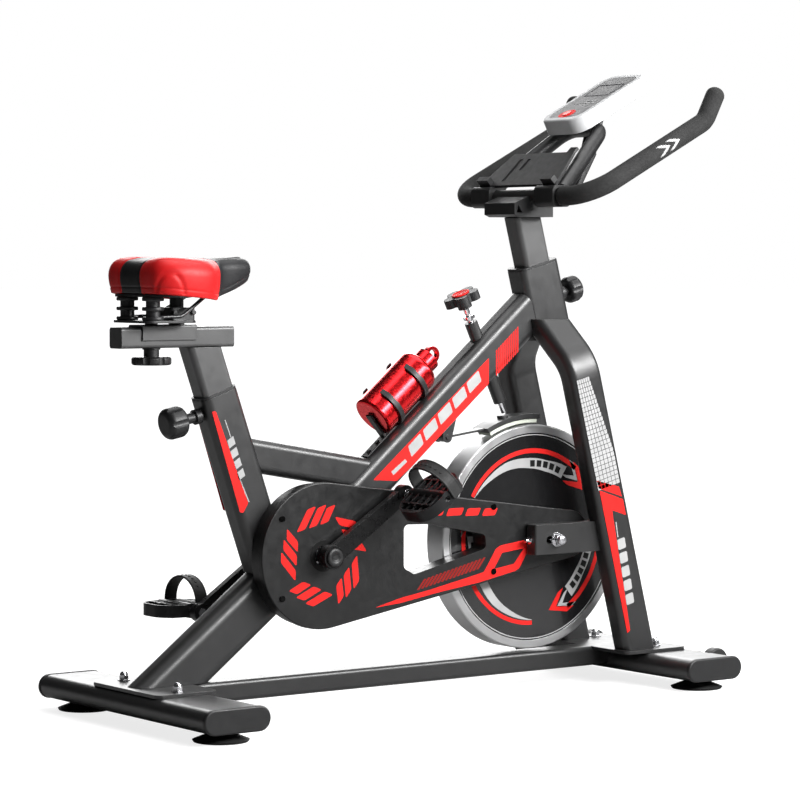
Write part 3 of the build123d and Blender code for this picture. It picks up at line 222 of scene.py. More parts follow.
class Look:
    """A material and short calls for the nodes that give it detail."""

    def __init__(self, name, colour, rough, metallic=0.0, specular=0.5, coat=0.0, coat_rough=0.15):
        self.material = bpy.data.materials.new(name)
        self.material.use_nodes = True
        self.tree = self.material.node_tree
        self.shader = self.tree.nodes["Principled BSDF"]
        self.colour = (*colour, 1.0)
        self.rough = rough
        self.normal = None
        inputs = self.shader.inputs
        inputs["Base Color"].default_value = self.colour
        inputs["Roughness"].default_value = rough
        inputs["Metallic"].default_value = metallic
        inputs["Specular IOR Level"].default_value = specular
        if coat:
            inputs["Coat Weight"].default_value = coat
            inputs["Coat Roughness"].default_value = coat_rough
        self.coords = self.add("ShaderNodeTexCoord").outputs["Object"]

    def add(self, kind, **settings):
        node = self.tree.nodes.new(kind)
        for key, value in settings.items():
            setattr(node, key, value)
        return node

    def link(self, a, b):
        self.tree.links.new(a, b)

    def scaled(self, scale, shift=(0, 0, 0), turn=(0, 0, 0)):
        mapping = self.add("ShaderNodeMapping")
        mapping.inputs["Scale"].default_value = scale
        mapping.inputs["Location"].default_value = shift
        mapping.inputs["Rotation"].default_value = turn
        self.link(self.coords, mapping.inputs["Vector"])
        return mapping.outputs["Vector"]

    def noise(self, scale, detail=3.0, roughness=0.5, vector=None):
        node = self.add("ShaderNodeTexNoise")
        node.inputs["Scale"].default_value = scale
        node.inputs["Detail"].default_value = detail
        node.inputs["Roughness"].default_value = roughness
        self.link(vector or self.coords, node.inputs["Vector"])
        return node.outputs["Fac"]

    def span(self, value, low, high, start=0.3, end=0.7):
        node = self.add("ShaderNodeMapRange")
        node.inputs["From Min"].default_value = start
        node.inputs["From Max"].default_value = end
        node.inputs["To Min"].default_value = low
        node.inputs["To Max"].default_value = high
        self.link(value, node.inputs["Value"])
        return node.outputs["Result"]

    def calc(self, operation, first, second=None):
        """One sum: second is a number or another node's output."""
        node = self.add("ShaderNodeMath", operation=operation)
        self.link(first, node.inputs[0])
        if isinstance(second, (int, float)):
            node.inputs[1].default_value = second
        elif second is not None:
            self.link(second, node.inputs[1])
        return node.outputs["Value"]

    def colours(self, value, low, high, start=0.3, end=0.7):
        """A colour from low to high, as value goes from start to end."""
        ramp = self.add("ShaderNodeMapRange", data_type="FLOAT_VECTOR")
        for socket, setting in zip(ramp.inputs[7:11], ((start,) * 3, (end,) * 3, low, high)):
            socket.default_value = setting
        self.link(value, ramp.inputs[6])
        return ramp.outputs[1]

    def choose(self, factor, first, second):
        """Base colour: first where factor is 0, second where it is 1."""
        mix = self.add("ShaderNodeMix", data_type="RGBA")
        self.link(factor, mix.inputs["Factor"])
        self.link(first, mix.inputs[6])
        self.link(second, mix.inputs[7])
        self.link(mix.outputs[2], self.shader.inputs["Base Color"])

    def axes(self):
        parts = self.add("ShaderNodeSeparateXYZ")
        self.link(self.coords, parts.inputs["Vector"])
        return parts.outputs

    def vary_colour(self, value, low, high):
        base = self.colour[:3]
        shade = self.colours(value, tuple(c * low for c in base), tuple(c * high for c in base))
        self.link(shade, self.shader.inputs["Base Color"])
        return self

    def vary_rough(self, value, spread):
        low, high = max(self.rough - spread, 0.02), min(self.rough + spread, 1.0)
        self.link(self.span(value, low, high), self.shader.inputs["Roughness"])
        return self

    def bump(self, value, distance, strength=1.0):
        node = self.add("ShaderNodeBump")
        node.inputs["Distance"].default_value = distance
        node.inputs["Strength"].default_value = strength
        self.link(value, node.inputs["Height"])
        if self.normal is not None:
            self.link(self.normal, node.inputs["Normal"])
        self.normal = node.outputs["Normal"]
        self.link(self.normal, self.shader.inputs["Normal"])
        return self

    def round_edges(self, radius):
        node = self.add("ShaderNodeBevel", samples=4)
        node.inputs["Radius"].default_value = radius
        self.normal = node.outputs["Normal"]
        self.link(self.normal, self.shader.inputs["Normal"])
        return self


def powder_paint(name, colour, rough, edge=0.0012):
    look = Look(name, colour, rough, specular=0.6).round_edges(edge)
    look.vary_colour(look.noise(9, 4), 0.88, 1.12)
    look.vary_rough(look.noise(60, 4), 0.03)
    return look.bump(look.noise(1500, 2), 0.000015)


def moulded_plastic(name, colour, rough, grain=1900, depth=0.00002, edge=0.0008, specular=0.4):
    look = Look(name, colour, rough, specular=specular).round_edges(edge)
    look.vary_colour(look.noise(20, 4), 0.85, 1.15)
    look.vary_rough(look.noise(90, 3), 0.06)
    return look.bump(look.noise(grain, 2), depth)


def rubber(name, colour, rough=0.75):
    look = Look(name, colour, rough, specular=0.3)
    look.vary_colour(look.noise(30, 4), 0.8, 1.25)
    look.vary_rough(look.noise(240, 3), 0.08)
    return look.bump(look.noise(1300, 3), 0.0001)


def polished_metal(name, colour, rough, lines=(1, 1, 1)):
    look = Look(name, colour, rough, metallic=1.0).round_edges(0.0006)
    streak = look.noise(260, 4, vector=look.scaled(lines))
    look.vary_colour(streak, 0.9, 1.06)
    look.vary_rough(streak, rough * 0.35)
    return look.bump(streak, 0.00002)


def turned_iron(name, colour, rough):
    """Lathe-turned iron: fine rings about the flywheel's axle."""
    look = Look(name, colour, rough, metallic=1.0).round_edges(0.0008)
    centre = look.scaled((1, 1, 1), ((ORIGIN_X - AXLE[0]) * MM, 0, -AXLE[1] * MM))
    rings = look.add("ShaderNodeTexWave", wave_type="RINGS", rings_direction="Y")
    rings.inputs["Scale"].default_value = 420
    rings.inputs["Distortion"].default_value = 0.6
    look.link(centre, rings.inputs["Vector"])
    look.vary_colour(look.noise(6, 3), 0.85, 1.2)
    look.vary_rough(look.noise(40, 3), 0.06)
    return look.bump(rings.outputs["Fac"], 0.00001, 0.5)


def gloss_plastic(name, colour, rough=0.12):
    look = Look(name, colour, rough, specular=0.5, coat=0.3, coat_rough=0.05)
    look.vary_colour(look.noise(14, 3), 0.92, 1.08)
    look.vary_rough(look.noise(70, 4), 0.03)
    return look.bump(look.noise(500, 2), 0.00001)


def split_skin(name):
    """A smooth stitched cover: red panels on the wings, black along the middle and the nose."""
    look = Look(name, (0.012, 0.012, 0.013), 0.45, specular=0.22)
    axes = look.axes()
    edge = look.add("ShaderNodeMapRange", interpolation_type="SMOOTHSTEP")
    settings = [(x - ORIGIN_X) * MM for x in PANEL_RUN] + [y * MM for y in PANEL_EDGE]
    for key, value in zip(("From Min", "From Max", "To Min", "To Max"), settings):
        edge.inputs[key].default_value = value
    look.link(axes["X"], edge.inputs["Value"])
    wide = look.calc("GREATER_THAN", look.calc("ABSOLUTE", axes["Y"]), edge.outputs["Result"])
    behind = look.calc("LESS_THAN", axes["X"], (PANEL_FRONT - ORIGIN_X) * MM)
    shade = look.noise(28, 4)
    black = look.colours(shade, (0.010, 0.010, 0.011), (0.016, 0.016, 0.017))
    red = look.colours(shade, (0.46, 0.007, 0.008), (0.54, 0.010, 0.011))
    look.choose(look.calc("MULTIPLY", wide, behind), black, red)
    look.vary_rough(look.noise(200, 3), 0.05)
    return look.bump(look.noise(900, 3), 0.00004)


def fastener_metal():
    """Chrome bolts on the base, and blackened screws everywhere above it."""
    look = polished_metal("fastener_metal", (0.6, 0.6, 0.62), 0.2)
    high = look.calc("GREATER_THAN", look.axes()["Z"], BASE_TOP)
    streak = look.noise(120, 3)
    chrome = look.colours(streak, (0.5, 0.5, 0.52), (0.68, 0.68, 0.7), 0.0, 1.0)
    black = look.colours(streak, (0.008, 0.008, 0.008), (0.014, 0.014, 0.014), 0.0, 1.0)
    look.choose(high, chrome, black)
    return look


def print_ink(name, colour):
    """Screen-printed ink: even, a little matt, with a faint mottle."""
    look = Look(name, colour, 0.55, specular=0.12)
    look.vary_colour(look.noise(35, 3), 0.94, 1.06)
    look.vary_rough(look.noise(220, 2), 0.05)
    return look.bump(look.noise(800, 2), 0.00001)


def make_looks():
    looks = {
        "frame_paint": powder_paint("frame_paint", (0.012, 0.012, 0.0123), 0.37),
        "post_paint": powder_paint("post_paint", (0.045, 0.045, 0.0455), 0.34),
        "guard_plastic": moulded_plastic("guard_plastic", (0.006, 0.006, 0.0062), 0.37, specular=0.36),
        "black_plastic": moulded_plastic("black_plastic", (0.009, 0.009, 0.0095), 0.45),
        "pedal_plastic": moulded_plastic("pedal_plastic", (0.005, 0.005, 0.0055), 0.4, specular=0.25),
        "wheel_plastic": moulded_plastic("wheel_plastic", (0.012, 0.012, 0.012), 0.5),
        "rubber_feet": rubber("rubber_feet", (0.008, 0.008, 0.008)),
        "belt_rubber": rubber("belt_rubber", (0.012, 0.012, 0.012)),
        "strap_rubber": rubber("strap_rubber", (0.010, 0.010, 0.010), 0.6),
        "foam": rubber("foam", (0.013, 0.013, 0.013), 0.85),
        "saddle_skin": rubber("saddle_skin", (0.012, 0.012, 0.012), 0.5),
        "bright_steel": polished_metal("bright_steel", (0.72, 0.72, 0.74), 0.14),
        "plain_steel": polished_metal("plain_steel", (0.5, 0.5, 0.52), 0.3, (1, 1, 8)),
        "bearing_steel": polished_metal("bearing_steel", (0.55, 0.55, 0.57), 0.25),
        "flywheel_iron": turned_iron("flywheel_iron", (0.5, 0.5, 0.505), 0.34),
        "brake_steel": powder_paint("brake_steel", (0.016, 0.016, 0.0165), 0.36),
        "brake_mount": powder_paint("brake_mount", (0.012, 0.012, 0.0123), 0.36),
        "crank_steel": moulded_plastic("crank_steel", (0.004, 0.004, 0.0042), 0.3, specular=0.25),
        "spring_steel": powder_paint("spring_steel", (0.012, 0.012, 0.013), 0.35),
        "flywheel_gloss": gloss_plastic("flywheel_gloss", (0.007, 0.007, 0.0075), 0.2),
        "console_shell": moulded_plastic("console_shell", (0.43, 0.435, 0.44), 0.5, specular=0.15),
        "console_window": moulded_plastic("console_window", (0.006, 0.006, 0.008), 0.3, specular=0.1),
        "button_red": gloss_plastic("button_red", (0.72, 0.012, 0.015), 0.2),
        "bottle_red": polished_metal("bottle_red", (0.8, 0.02, 0.025), 0.22),
        "print_red": print_ink("print_red", (0.6, 0.014, 0.012)),
        "print_dark_red": print_ink("print_dark_red", (0.2, 0.010, 0.008)),
        # print_white also draws the painted highlight ring at the flywheel disc's edge.
        "print_white": print_ink("print_white", (0.33, 0.33, 0.33)),
        # print_black also draws the painted shadow ring round the crank hub.
        "print_black": print_ink("print_black", (0.006, 0.006, 0.006)),
        "print_dim": print_ink("print_dim", (0.05, 0.05, 0.055)),
        "saddle_cover": split_skin("saddle_cover"),
        "felt": rubber("felt", (0.5, 0.53, 0.46), 0.95),
    }
    materials = {key: look.material for key, look in looks.items()}
    materials["frame_fasteners"] = fastener_metal().material
    return materials


def dress_nodes():
    """Gives each CAD node the material of its slot."""
    for part in frame["record"]["subparts"]:
        for slot in nodes[part["node"]].material_slots:
            slot.material = LOOKS.get(part["node"], LOOKS[part["material_slot"]])


# Mesh helpers


def piece(name, bm, looks, body, smooth=True):
    """Turns a bmesh into a piece that rides on a body and takes its finish from a slot."""
    bmesh.ops.recalc_face_normals(bm, faces=bm.faces)
    mesh = bpy.data.meshes.new(name)
    for face in bm.faces:
        face.smooth = smooth
    bm.to_mesh(mesh)
    bm.free()
    obj = bpy.data.objects.new(name, mesh)
    bpy.context.scene.collection.objects.link(obj)
    for look in looks:
        mesh.materials.append(LOOKS[look])
    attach(obj, body)
    return obj


def turned(angle):
    """The unit direction at an angle in the plane seen from the rider's right."""
    return Vector((math.cos(math.radians(angle)), 0, math.sin(math.radians(angle))))


class Plate:
    """A flat place on the object: u and v lie in it, and w is the height above it, in millimetres."""

    def __init__(self, origin, u, v, out):
        self.origin, self.u, self.v, self.out = (Vector(p) for p in (origin, u, v, out))

    def spot(self, u, v, w=0.0):
        return at(*(self.origin + self.u * u + self.v * v + self.out * w))


def hand(y):
    return "right" if y < 0 else "left"


def side_plate(spot, y, angle=0.0):
    """A plate at (x, z) on a face that looks sideways, with u at an angle above +X."""
    return Plate((spot[0], y, spot[1]), turned(angle), turned(angle + 90), (0, 1 if y > 0 else -1, 0))


def rounded(corners, radius, steps=5):
    """An outline with its corners rounded, as points (u, v)."""
    points = []
    count = len(corners)
    for i, corner in enumerate(corners):
        here = Vector(corner)
        back = Vector(corners[i - 1]) - here
        ahead = Vector(corners[(i + 1) % count]) - here
        reach = min(radius, back.length * 0.45, ahead.length * 0.45)
        start, end = here + back.normalized() * reach, here + ahead.normalized() * reach
        for step in range(steps + 1):
            t = step / steps
            points.append(tuple((1 - t) ** 2 * start + 2 * t * (1 - t) * here + t * t * end))
    return points


def spread(count):
    """Even angles round a full turn."""
    return [2 * math.pi * i / count for i in range(count)]


def ellipse(centre, half_u, half_v, count):
    """An outline about (centre, 0), as points (u, v)."""
    return [(centre + half_u * math.cos(a), half_v * math.sin(a)) for a in spread(count)]


def bridge(bm, rings):
    """Joins each ring of vertices to the next with four-sided faces."""
    for a, b in zip(rings, rings[1:]):
        for i in range(len(a)):
            j = (i + 1) % len(a)
            bm.faces.new((a[i], a[j], b[j], b[i]))


def add_prism(bm, place, loops, low, high):
    """A flat shape with holes, from height low to height high above its plate."""
    flat = [[Vector((u, v, 0)) for u, v in loop] for loop in loops]
    rings = []
    for loop in loops:
        rings.append([[bm.verts.new(place.spot(u, v, w)) for u, v in loop] for w in (low, high)])
    for level in (0, 1):
        verts = [vert for ring in rings for vert in ring[level]]
        for tri in tessellate_polygon(flat):
            bm.faces.new([verts[i] for i in tri])
    for bottom, top in rings:
        count = len(bottom)
        for i in range(count):
            j = (i + 1) % count
            bm.faces.new((bottom[i], bottom[j], top[j], top[i]))


def sticker(name, look, body, shapes, thick=0.3):
    """One set of printed shapes, also used for the painted shadow and highlight rings: each is (plate,
    outer loop, holes...).
    """
    bm = bmesh.new()
    for place, *loops in shapes:
        add_prism(bm, place, loops, -0.25, thick)
    return piece(name, bm, [look], body, smooth=False)


def slanted(start, end, low, high, lean):
    """A four-cornered block between two positions, leaning by lean at its top."""
    return [(start, low), (end, low), (end + lean, high), (start + lean, high)]


# Printed graphics, with a painted shadow ring round the crank hub and a painted highlight ring on the
# flywheel's edge


def polar(angle, x, y):
    """A point of a group drawn upright above the centre, turned to its angle."""
    t = math.radians(angle - 90)
    return (x * math.cos(t) - y * math.sin(t), x * math.sin(t) + y * math.cos(t))


def guard_bars(place):
    """Five groups of three slanted bars round the crank."""
    bars = ((-31, -1.5, 52, 81), (-7.5, 18.5, 51, 77.5), (14.5, 35, 50, 72))
    shapes = []
    for angle in (105, 177, 249, 321, 33):
        for bottom, top, low, high in bars:
            corners = [(bottom - 8.5, low), (bottom + 8.5, low)]
            corners += [(top + 8.5, high), (top - 8.5, high)]
            shapes.append((place, rounded([polar(angle, *c) for c in corners], 4)))
    return shapes


def guard_graphics():
    near = side_plate((0, 0), GUARD_FACE)
    crank = side_plate(CRANK, GUARD_FACE)
    outline = [(386, 162), (435, 174), (496, 184), (557, 196), (606, 206), (619, 225), (631, 243)]
    outline += [(640, 248), (716, 258), (697, 234), (680, 208), (671, 204)]
    outline += [(598, 190), (516, 179), (435, 166)]
    hole = [(644, 236), (690, 241), (669, 216), (627, 210)]
    shapes = guard_bars(crank)
    shapes.append((near, rounded(outline, 2), rounded(hole, 2)))
    for start, end in ((457, 492), (496, 524), (528, 563), (567, 598), (602, 633)):
        drop = (start - 457) * 0.047
        low, high = 306 - drop, 318 - drop
        shapes.append((near, rounded(slanted(start, end - 4, low, high, 6), 3)))
    # A black ring round the crank hub: a painted shadow for the shade in the hollow around the hub,
    # drawn in black ink.
    ring = [(crank, ellipse(0, 25, 25, 48), ellipse(0, 17, 17, 48))]
    sticker("guard_crank_painted_shadow", "print_black", "frame", ring)
    sticker("guard_red_print", "print_red", "frame", shapes)
    hatch = []
    for i in range(16):
        t = i / 16
        x, low = 469 + 129 * t, 185 + 28 * t
        hatch.append((near, slanted(x, x + 4.5, low, low + 17.5 + 1.5 * t, 15)))
    sticker("guard_dark_print", "print_dark_red", "frame", hatch)


def main_tube_graphics(y):
    place = side_plate(CRANK, y, MAIN_TUBE_ANGLE)
    panel = [(167, 8), (201, -25), (239, -27), (444, -29), (472, 4), (236, 7)]
    red = [(place, rounded(panel, 2))]
    for i in range(11):
        u = 490 + 5.8 * i
        red.append((place, slanted(u - 26, u - 22.4, -29, 3.5, 27)))
    side = hand(y)
    sticker("main_tube_red_print_" + side, "print_red", "frame", red)
    white = [(place, rounded(slanted(u, u + 32, -15, 3, 6), 3)) for u in (248, 287, 326, 365, 404)]
    white.append((place, [(202, -6), (236, -9), (236, -15), (202, -13)]))
    name = "main_tube_white_print_" + side
    sticker(name, "print_white", "frame", white, thick=0.45)


def seat_tube_graphics(y):
    place = side_plate(SEAT_TUBE_TOP, y, SEAT_TUBE_ANGLE)
    side = hand(y)
    stripe = [(19, -27), (187, -31), (190, -26), (179, -12), (21, -20)]
    red = [(place, rounded(stripe, 2))]
    sticker("seat_tube_red_print_" + side, "print_red", "frame", red)
    white = [(place, slanted(u, u + 13, -16, -3, -3)) for u in (72, 90, 108, 126)]
    white.append((place, [(40, -9.5), (71, -8.5), (71, -7), (40, -8)]))
    white.append((place, [(139, -15), (178, -11), (178, -9), (139, -13)]))
    sticker("seat_tube_white_print_" + side, "print_white", "frame", white)


def fork_graphics(y):
    place = side_plate(FORK_FOOT, y, FORK_ANGLE)
    side = hand(y)
    cells = []
    for i in range(24):
        u = 300 + 8.0 * i
        low = -21 + (u - 352) * 0.163 if u < 352 else -22 + (u - 352) * 0.16
        low = max(low, -22)
        high = 27.0
        for j in range(6):
            v0, v1 = low + (high - low) * j / 6 + 0.5, low + (high - low) * (j + 1) / 6 - 0.5
            cells.append((place, [(u + 0.5, v0), (u + 7.5, v0), (u + 7.5, v1), (u + 0.5, v1)]))
    white = cells + [(place, [(238, 2), (212, 4), (212, 6), (238, 4)])]
    for i, u in enumerate((208, 184, 160, 136, 112)):
        v = -9 + 1.4 * i
        white.append((place, rounded([(u, v), (u, v + 17), (u - 18, v + 18), (u - 18, v + 1)], 3)))
    sticker("fork_white_print_" + side, "print_white", "frame", white)
    red = [
        (place, [(318, 26), (294, -18), (276, -20), (304, 25)]),
        (place, [(300, 24), (271, -21), (243, -21), (260, 6), (247, 7), (51, 18), (48, 25)]),
    ]
    sticker("fork_red_print_" + side, "print_red", "frame", red)


def arc_band(start, end, outer, inner, steps=24):
    """A curved band between two angles: outer and inner give its radii along it."""
    def radius(table, t):
        place = t * (len(table) - 1)
        i = min(int(place), len(table) - 2)
        return table[i] + (table[i + 1] - table[i]) * (place - i)

    def rim(table):
        points = []
        for k in range(steps + 1):
            t = k / steps
            angle = math.radians(start + (end - start) * t)
            r = radius(table, t)
            points.append((r * math.cos(angle), r * math.sin(angle)))
        return points

    return rim(outer) + rim(inner)[::-1]


def chevron(high, tip, low, start, end, thick):
    """A V pointing round the wheel: its arms' radii, its angles at the arms and the tip, its width."""
    corners = ((high, start), (tip, end), (low, start))
    corners += ((low, start + thick), (tip, end + thick + 1), (high, start + thick))
    return [(r * math.cos(math.radians(a)), r * math.sin(math.radians(a))) for r, a in corners]


def turn_all(points, angle):
    t = math.radians(angle)
    return [(x * math.cos(t) - y * math.sin(t), x * math.sin(t) + y * math.cos(t)) for x, y in points]


def flywheel_graphics(y):
    side = hand(y)
    place = side_plate(AXLE, y)
    red, white, black = [], [], []
    for turn in (0, -108, -240):
        bands = (
            (red, arc_band(150, 50, (149, 149, 149, 149), (142, 142, 141, 141))),
            (white, arc_band(150, 57, (141, 139, 138, 133, 131, 137), (140.5, 131, 124, 116, 112, 114))),
            (white, chevron(150, 134, 121, 53, 42, 4.5)),
            (red, chevron(152, 132, 113, 48, 34, 6.5)),
        )
        for group, band in bands:
            group.append((place, turn_all(band, turn)))
        for k in range(5):
            start = 92 - 6.5 * k
            letter = arc_band(start, start - 4.6, (129, 129), (118, 118), 5)
            black.append((place, turn_all(letter, turn)))
    # A thin white ring at the disc's edge: a painted highlight for the glint along the black disc's
    # rounded edge, drawn in white ink.
    edge = arc_band(0, 360, (172.6, 172.6), (171, 171), 96)
    half = len(edge) // 2
    white.append((place, edge[: half - 1], edge[half:-1]))
    sticker("flywheel_red_print_" + side, "print_red", "flywheel", red)
    sticker("flywheel_white_print_" + side, "print_white", "flywheel", white)
    name = "flywheel_black_print_" + side
    sticker(name, "print_black", "flywheel", black, thick=0.45)


def console_graphics():
    out = turned(CONSOLE_TILT + 90)
    foot = Vector((CONSOLE[0], 0, CONSOLE[1])) + out * CONSOLE_LIFT
    place = Plate(foot, turned(CONSOLE_TILT), (0, 1, 0), out)
    ring = [(place, ellipse(26, 15, 17, 32), ellipse(26, 9, 9, 32))]
    sticker("console_red_print", "print_red", "mast", ring)
    lines = []
    for u, rows in ((66, 6), (74, 4)):
        for j in range(rows):
            v = -26 + 9 * j
            lines.append((place, [(u, v), (u + 3, v), (u + 3, v + 6), (u, v + 6)]))
    sticker("console_pale_print", "print_white", "mast", lines)
    window = rounded([(96, -33), (140, -33), (140, 33), (96, 33)], 5)
    inner = rounded([(98, -31), (138, -31), (138, 31), (98, 31)], 4)
    frame_line = [(place, window, inner)]
    sticker("console_window_line", "print_dim", "mast", frame_line)


# Saddle

SEAT_SIDE = (
    (-35, 40), (-31, 70), (-10, 88), (25, 93), (62, 85),
    (90, 62), (112, 36), (150, 27), (176, 16),
)
# Drops and insets of the cover, and a distance from a seam at which it no longer shows
CROWN_FALL = 3.0
HEM = 3.0
ROOF = 669.0
LINING = 10.0
FAR = 99


def seat_outline(samples=240):
    """The saddle's plan as a smooth closed curve: points and outward normals, in millimetres."""
    control = [(-35, 0)] + list(SEAT_SIDE) + [(182, 0)] + [(x, -y) for x, y in reversed(SEAT_SIDE)]
    control = [Vector(c) for c in control]
    count = len(control)
    dense = []
    for i in range(count):
        a, b, c, d = (control[(i + k) % count] for k in (-1, 0, 1, 2))
        for step in range(24):
            t = step / 24
            dense.append(0.5 * (2 * b + (c - a) * t + (2 * a - 5 * b + 4 * c - d) * t**2
                                + (3 * b - a - 3 * c + d) * t**3))
    lengths = [0.0]
    for a, b in zip(dense, dense[1:] + dense[:1]):
        lengths.append(lengths[-1] + (b - a).length)
    points = []
    k = 0
    for i in range(samples):
        target = lengths[-1] * i / samples
        while lengths[k + 1] < target:
            k += 1
        share = (target - lengths[k]) / (lengths[k + 1] - lengths[k])
        a, b = dense[k], dense[(k + 1) % len(dense)]
        points.append(a + (b - a) * share)
    normals = []
    for i in range(samples):
        along = points[(i + 1) % samples] - points[i - 1]
        normals.append(Vector((-along.y, along.x)).normalized())
    if sum(n.dot(p - Vector((70, 0))) for n, p in zip(normals, points)) < 0:
        normals = [-n for n in normals]
    return points, normals


def ease(value, low, high):
    t = min(max((value - low) / (high - low), 0.0), 1.0)
    return t * t * (3 - 2 * t)


def seat_top(x, y):
    """The crown: raised wings, a shallow middle channel and a slightly raised nose."""
    wing = 3.0 * ease(60 - x, 0, 60) * ease(abs(y), 10, 55)
    nose = 2.0 * ease(x, 95, 150)
    channel = 2.6 * math.exp(-((y / 11.0) ** 2)) * ease(x, -20, 30) * ease(170 - x, 0, 50)
    return 724.5 + wing + nose - channel


def seat_low(x):
    """The hem: it falls a little from the back to the wings' front ends, and rises under the nose."""
    hem = 669.5 - (x + 36) * 0.088
    return hem + (690 - hem) * min(max((x - 92) / 90, 0.0), 1.0)


def panel_edge(x):
    """How far from the middle the red panels begin."""
    return PANEL_EDGE[0] + (PANEL_EDGE[1] - PANEL_EDGE[0]) * ease(x, *PANEL_RUN)


def seam_dip(x, y):
    """How deep the cover is drawn in along the panels' seams."""
    across = abs(abs(y) - panel_edge(x)) if x < PANEL_FRONT + 1 else FAR
    front = abs(x - PANEL_FRONT) if abs(y) > panel_edge(x) else FAR
    return 1.5 * math.exp(-((min(across, front) / 1.7) ** 2))


def wing_arch(x, y, z):
    """The pressed arch on each wing's rear corner."""
    s = math.hypot(x + 14, abs(abs(y) - 86) * 0.9)
    s = math.copysign(s, x + 14)
    high = 701
    reach = math.hypot(s / 24.0, max(z - 660, 0) / (high - 660)) if z > 660 else abs(s / 24.0)
    return 1.6 * math.exp(-(((reach - 1.0) / 0.11) ** 2))


def shoulder_size(x):
    """How wide and how deep the rounding between the crown and the side is."""
    return 24 - 9 * ease(x, 78, 125), 26 - 9 * ease(x, 78, 125)


def saddle():
    """The padded cover, built as rings from its crown over the side and hem to its lining."""
    points, normals = seat_outline()
    count = len(points)
    bm = bmesh.new()
    rings = []

    def ring(make):
        rings.append([bm.verts.new(at(*make(i))) for i in range(count)])

    def anchor(p):
        return Vector((min(max(p.x, 18), 158), 0))

    def top(share):
        def make(i):
            rim = points[i] - normals[i] * shoulder_size(points[i].x)[0]
            p = anchor(points[i]).lerp(rim, share)
            return p.x, p.y, seat_top(p.x, p.y) - CROWN_FALL * share**3 - seam_dip(p.x, p.y)
        return make

    def shoulder(turn):
        def make(i):
            size, drop = shoulder_size(points[i].x)
            p = points[i] - normals[i] * (size - size * math.sin(turn))
            z = seat_top(p.x, p.y) - CROWN_FALL - drop * (1 - math.cos(turn))
            pinch = seam_dip(p.x, p.y) * 0.9
            p = p - normals[i] * (pinch * math.sin(turn) + wing_arch(p.x, p.y, z) * math.sin(turn))
            return p.x, p.y, z - pinch * math.cos(turn)
        return make

    def wall(share):
        def make(i):
            x, y = points[i]
            high = seat_top(x, y) - CROWN_FALL - shoulder_size(x)[1]
            low = seat_low(x) + HEM
            z = high + (low - high) * share
            inward = 3.5 * share**2 + seam_dip(x, y) + wing_arch(x, y, z)
            inward += 0.9 * math.exp(-(((z - low - 7) / 1.2) ** 2))
            p = points[i] - normals[i] * inward
            return p.x, p.y, z
        return make

    def hem(turn):
        def make(i):
            p = points[i] - normals[i] * (3.5 + HEM * (1 - math.cos(turn)))
            return p.x, p.y, seat_low(points[i].x) + HEM - HEM * math.sin(turn)
        return make

    def inside(inward, share):
        def make(i):
            p = points[i] - normals[i] * inward
            low = seat_low(points[i].x)
            roof = max(low, ROOF)
            return p.x, p.y, low + 2 + (roof - low) * share
        return make

    for k in range(1, 33):
        ring(top(k / 32))
    for k in range(1, 9):
        ring(shoulder(math.pi / 2 * k / 8))
    for k in range(1, 21):
        ring(wall(k / 20))
    for k in range(1, 7):
        ring(hem(math.pi * k / 6))
    ring(inside(9.6, 0.4))
    ring(inside(LINING, 1.0))
    for share in (0.8, 0.55, 0.3):
        def floor(i, share=share):
            p = anchor(points[i]).lerp(points[i] - normals[i] * LINING, share)
            return p.x, p.y, max(seat_low(points[i].x), ROOF) + 2
        ring(floor)
    bridge(bm, rings)
    half = count // 2
    for end in (rings[0], rings[-1]):
        bm.faces.new((end[0], end[1], end[-1]))
        bm.faces.new((end[half - 1], end[half], end[half + 1]))
        for i in range(1, half - 1):
            bm.faces.new((end[i], end[i + 1], end[count - i - 1], end[count - i]))
    bmesh.ops.remove_doubles(bm, verts=bm.verts, dist=0.00002)
    obj = piece("saddle", bm, ["saddle_cover"], "carriage")
    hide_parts("saddle_pad")


# Grips and straps


def bent_path(corners, radii, step=3.5):
    """Points along a line through corners, rounded by the given radii, in millimetres."""
    points = [Vector(corners[0])]
    for i in range(1, len(corners) - 1):
        a, b, c = (Vector(p) for p in corners[i - 1:i + 2])
        into, out = (b - a).normalized(), (c - b).normalized()
        half = into.angle(out) / 2
        reach = radii[i - 1] * math.tan(half)
        start, end = b - into * reach, b + out * reach
        centre = b + (out - into).normalized() * (radii[i - 1] / math.cos(half))
        axis = into.cross(out).normalized()
        steps = max(int(2 * half * radii[i - 1] / step), 3)
        for k in range(steps + 1):
            points.append(centre + Matrix.Rotation(2 * half * k / steps, 3, axis) @ (start - centre))
    points.append(Vector(corners[-1]))
    even = [points[0]]
    for a, b in zip(points, points[1:]):
        parts = max(int((b - a).length / step), 1)
        even += [a.lerp(b, k / parts) for k in range(1, parts + 1)]
    return even


def frames_along(path, up):
    """Each path point with two directions across the path that don't twist."""
    rows = []
    side = Vector(up)
    for i, p in enumerate(path):
        tangent = (path[min(i + 1, len(path) - 1)] - path[max(i - 1, 0)]).normalized()
        side = (side - tangent * side.dot(tangent)).normalized()
        rows.append((p, tangent, side, tangent.cross(side)))
    return rows


def add_round_sweep(bm, rows, radii, sides=32):
    """A round skin along rows, with one radius for each, closed at both ends."""
    rings = []
    for (p, _, a, b), radius in zip(rows, radii):
        ring = [p + (a * math.cos(t) + b * math.sin(t)) * radius for t in spread(sides)]
        rings.append([bm.verts.new(at(*q)) for q in ring])
    bridge(bm, rings)
    bm.faces.new(rings[0][::-1])
    bm.faces.new(rings[-1])


def grip_rows(side):
    """The line of one grip along the handlebar, from its inner end to its tip."""
    corners = [(728, side * 112, 826), (728, side * 185, 826)]
    corners += [(975, side * 185, 952.5), (998, side * 185, 996)]
    return frames_along(bent_path(corners, (58, 34)), (0, 0, 1))


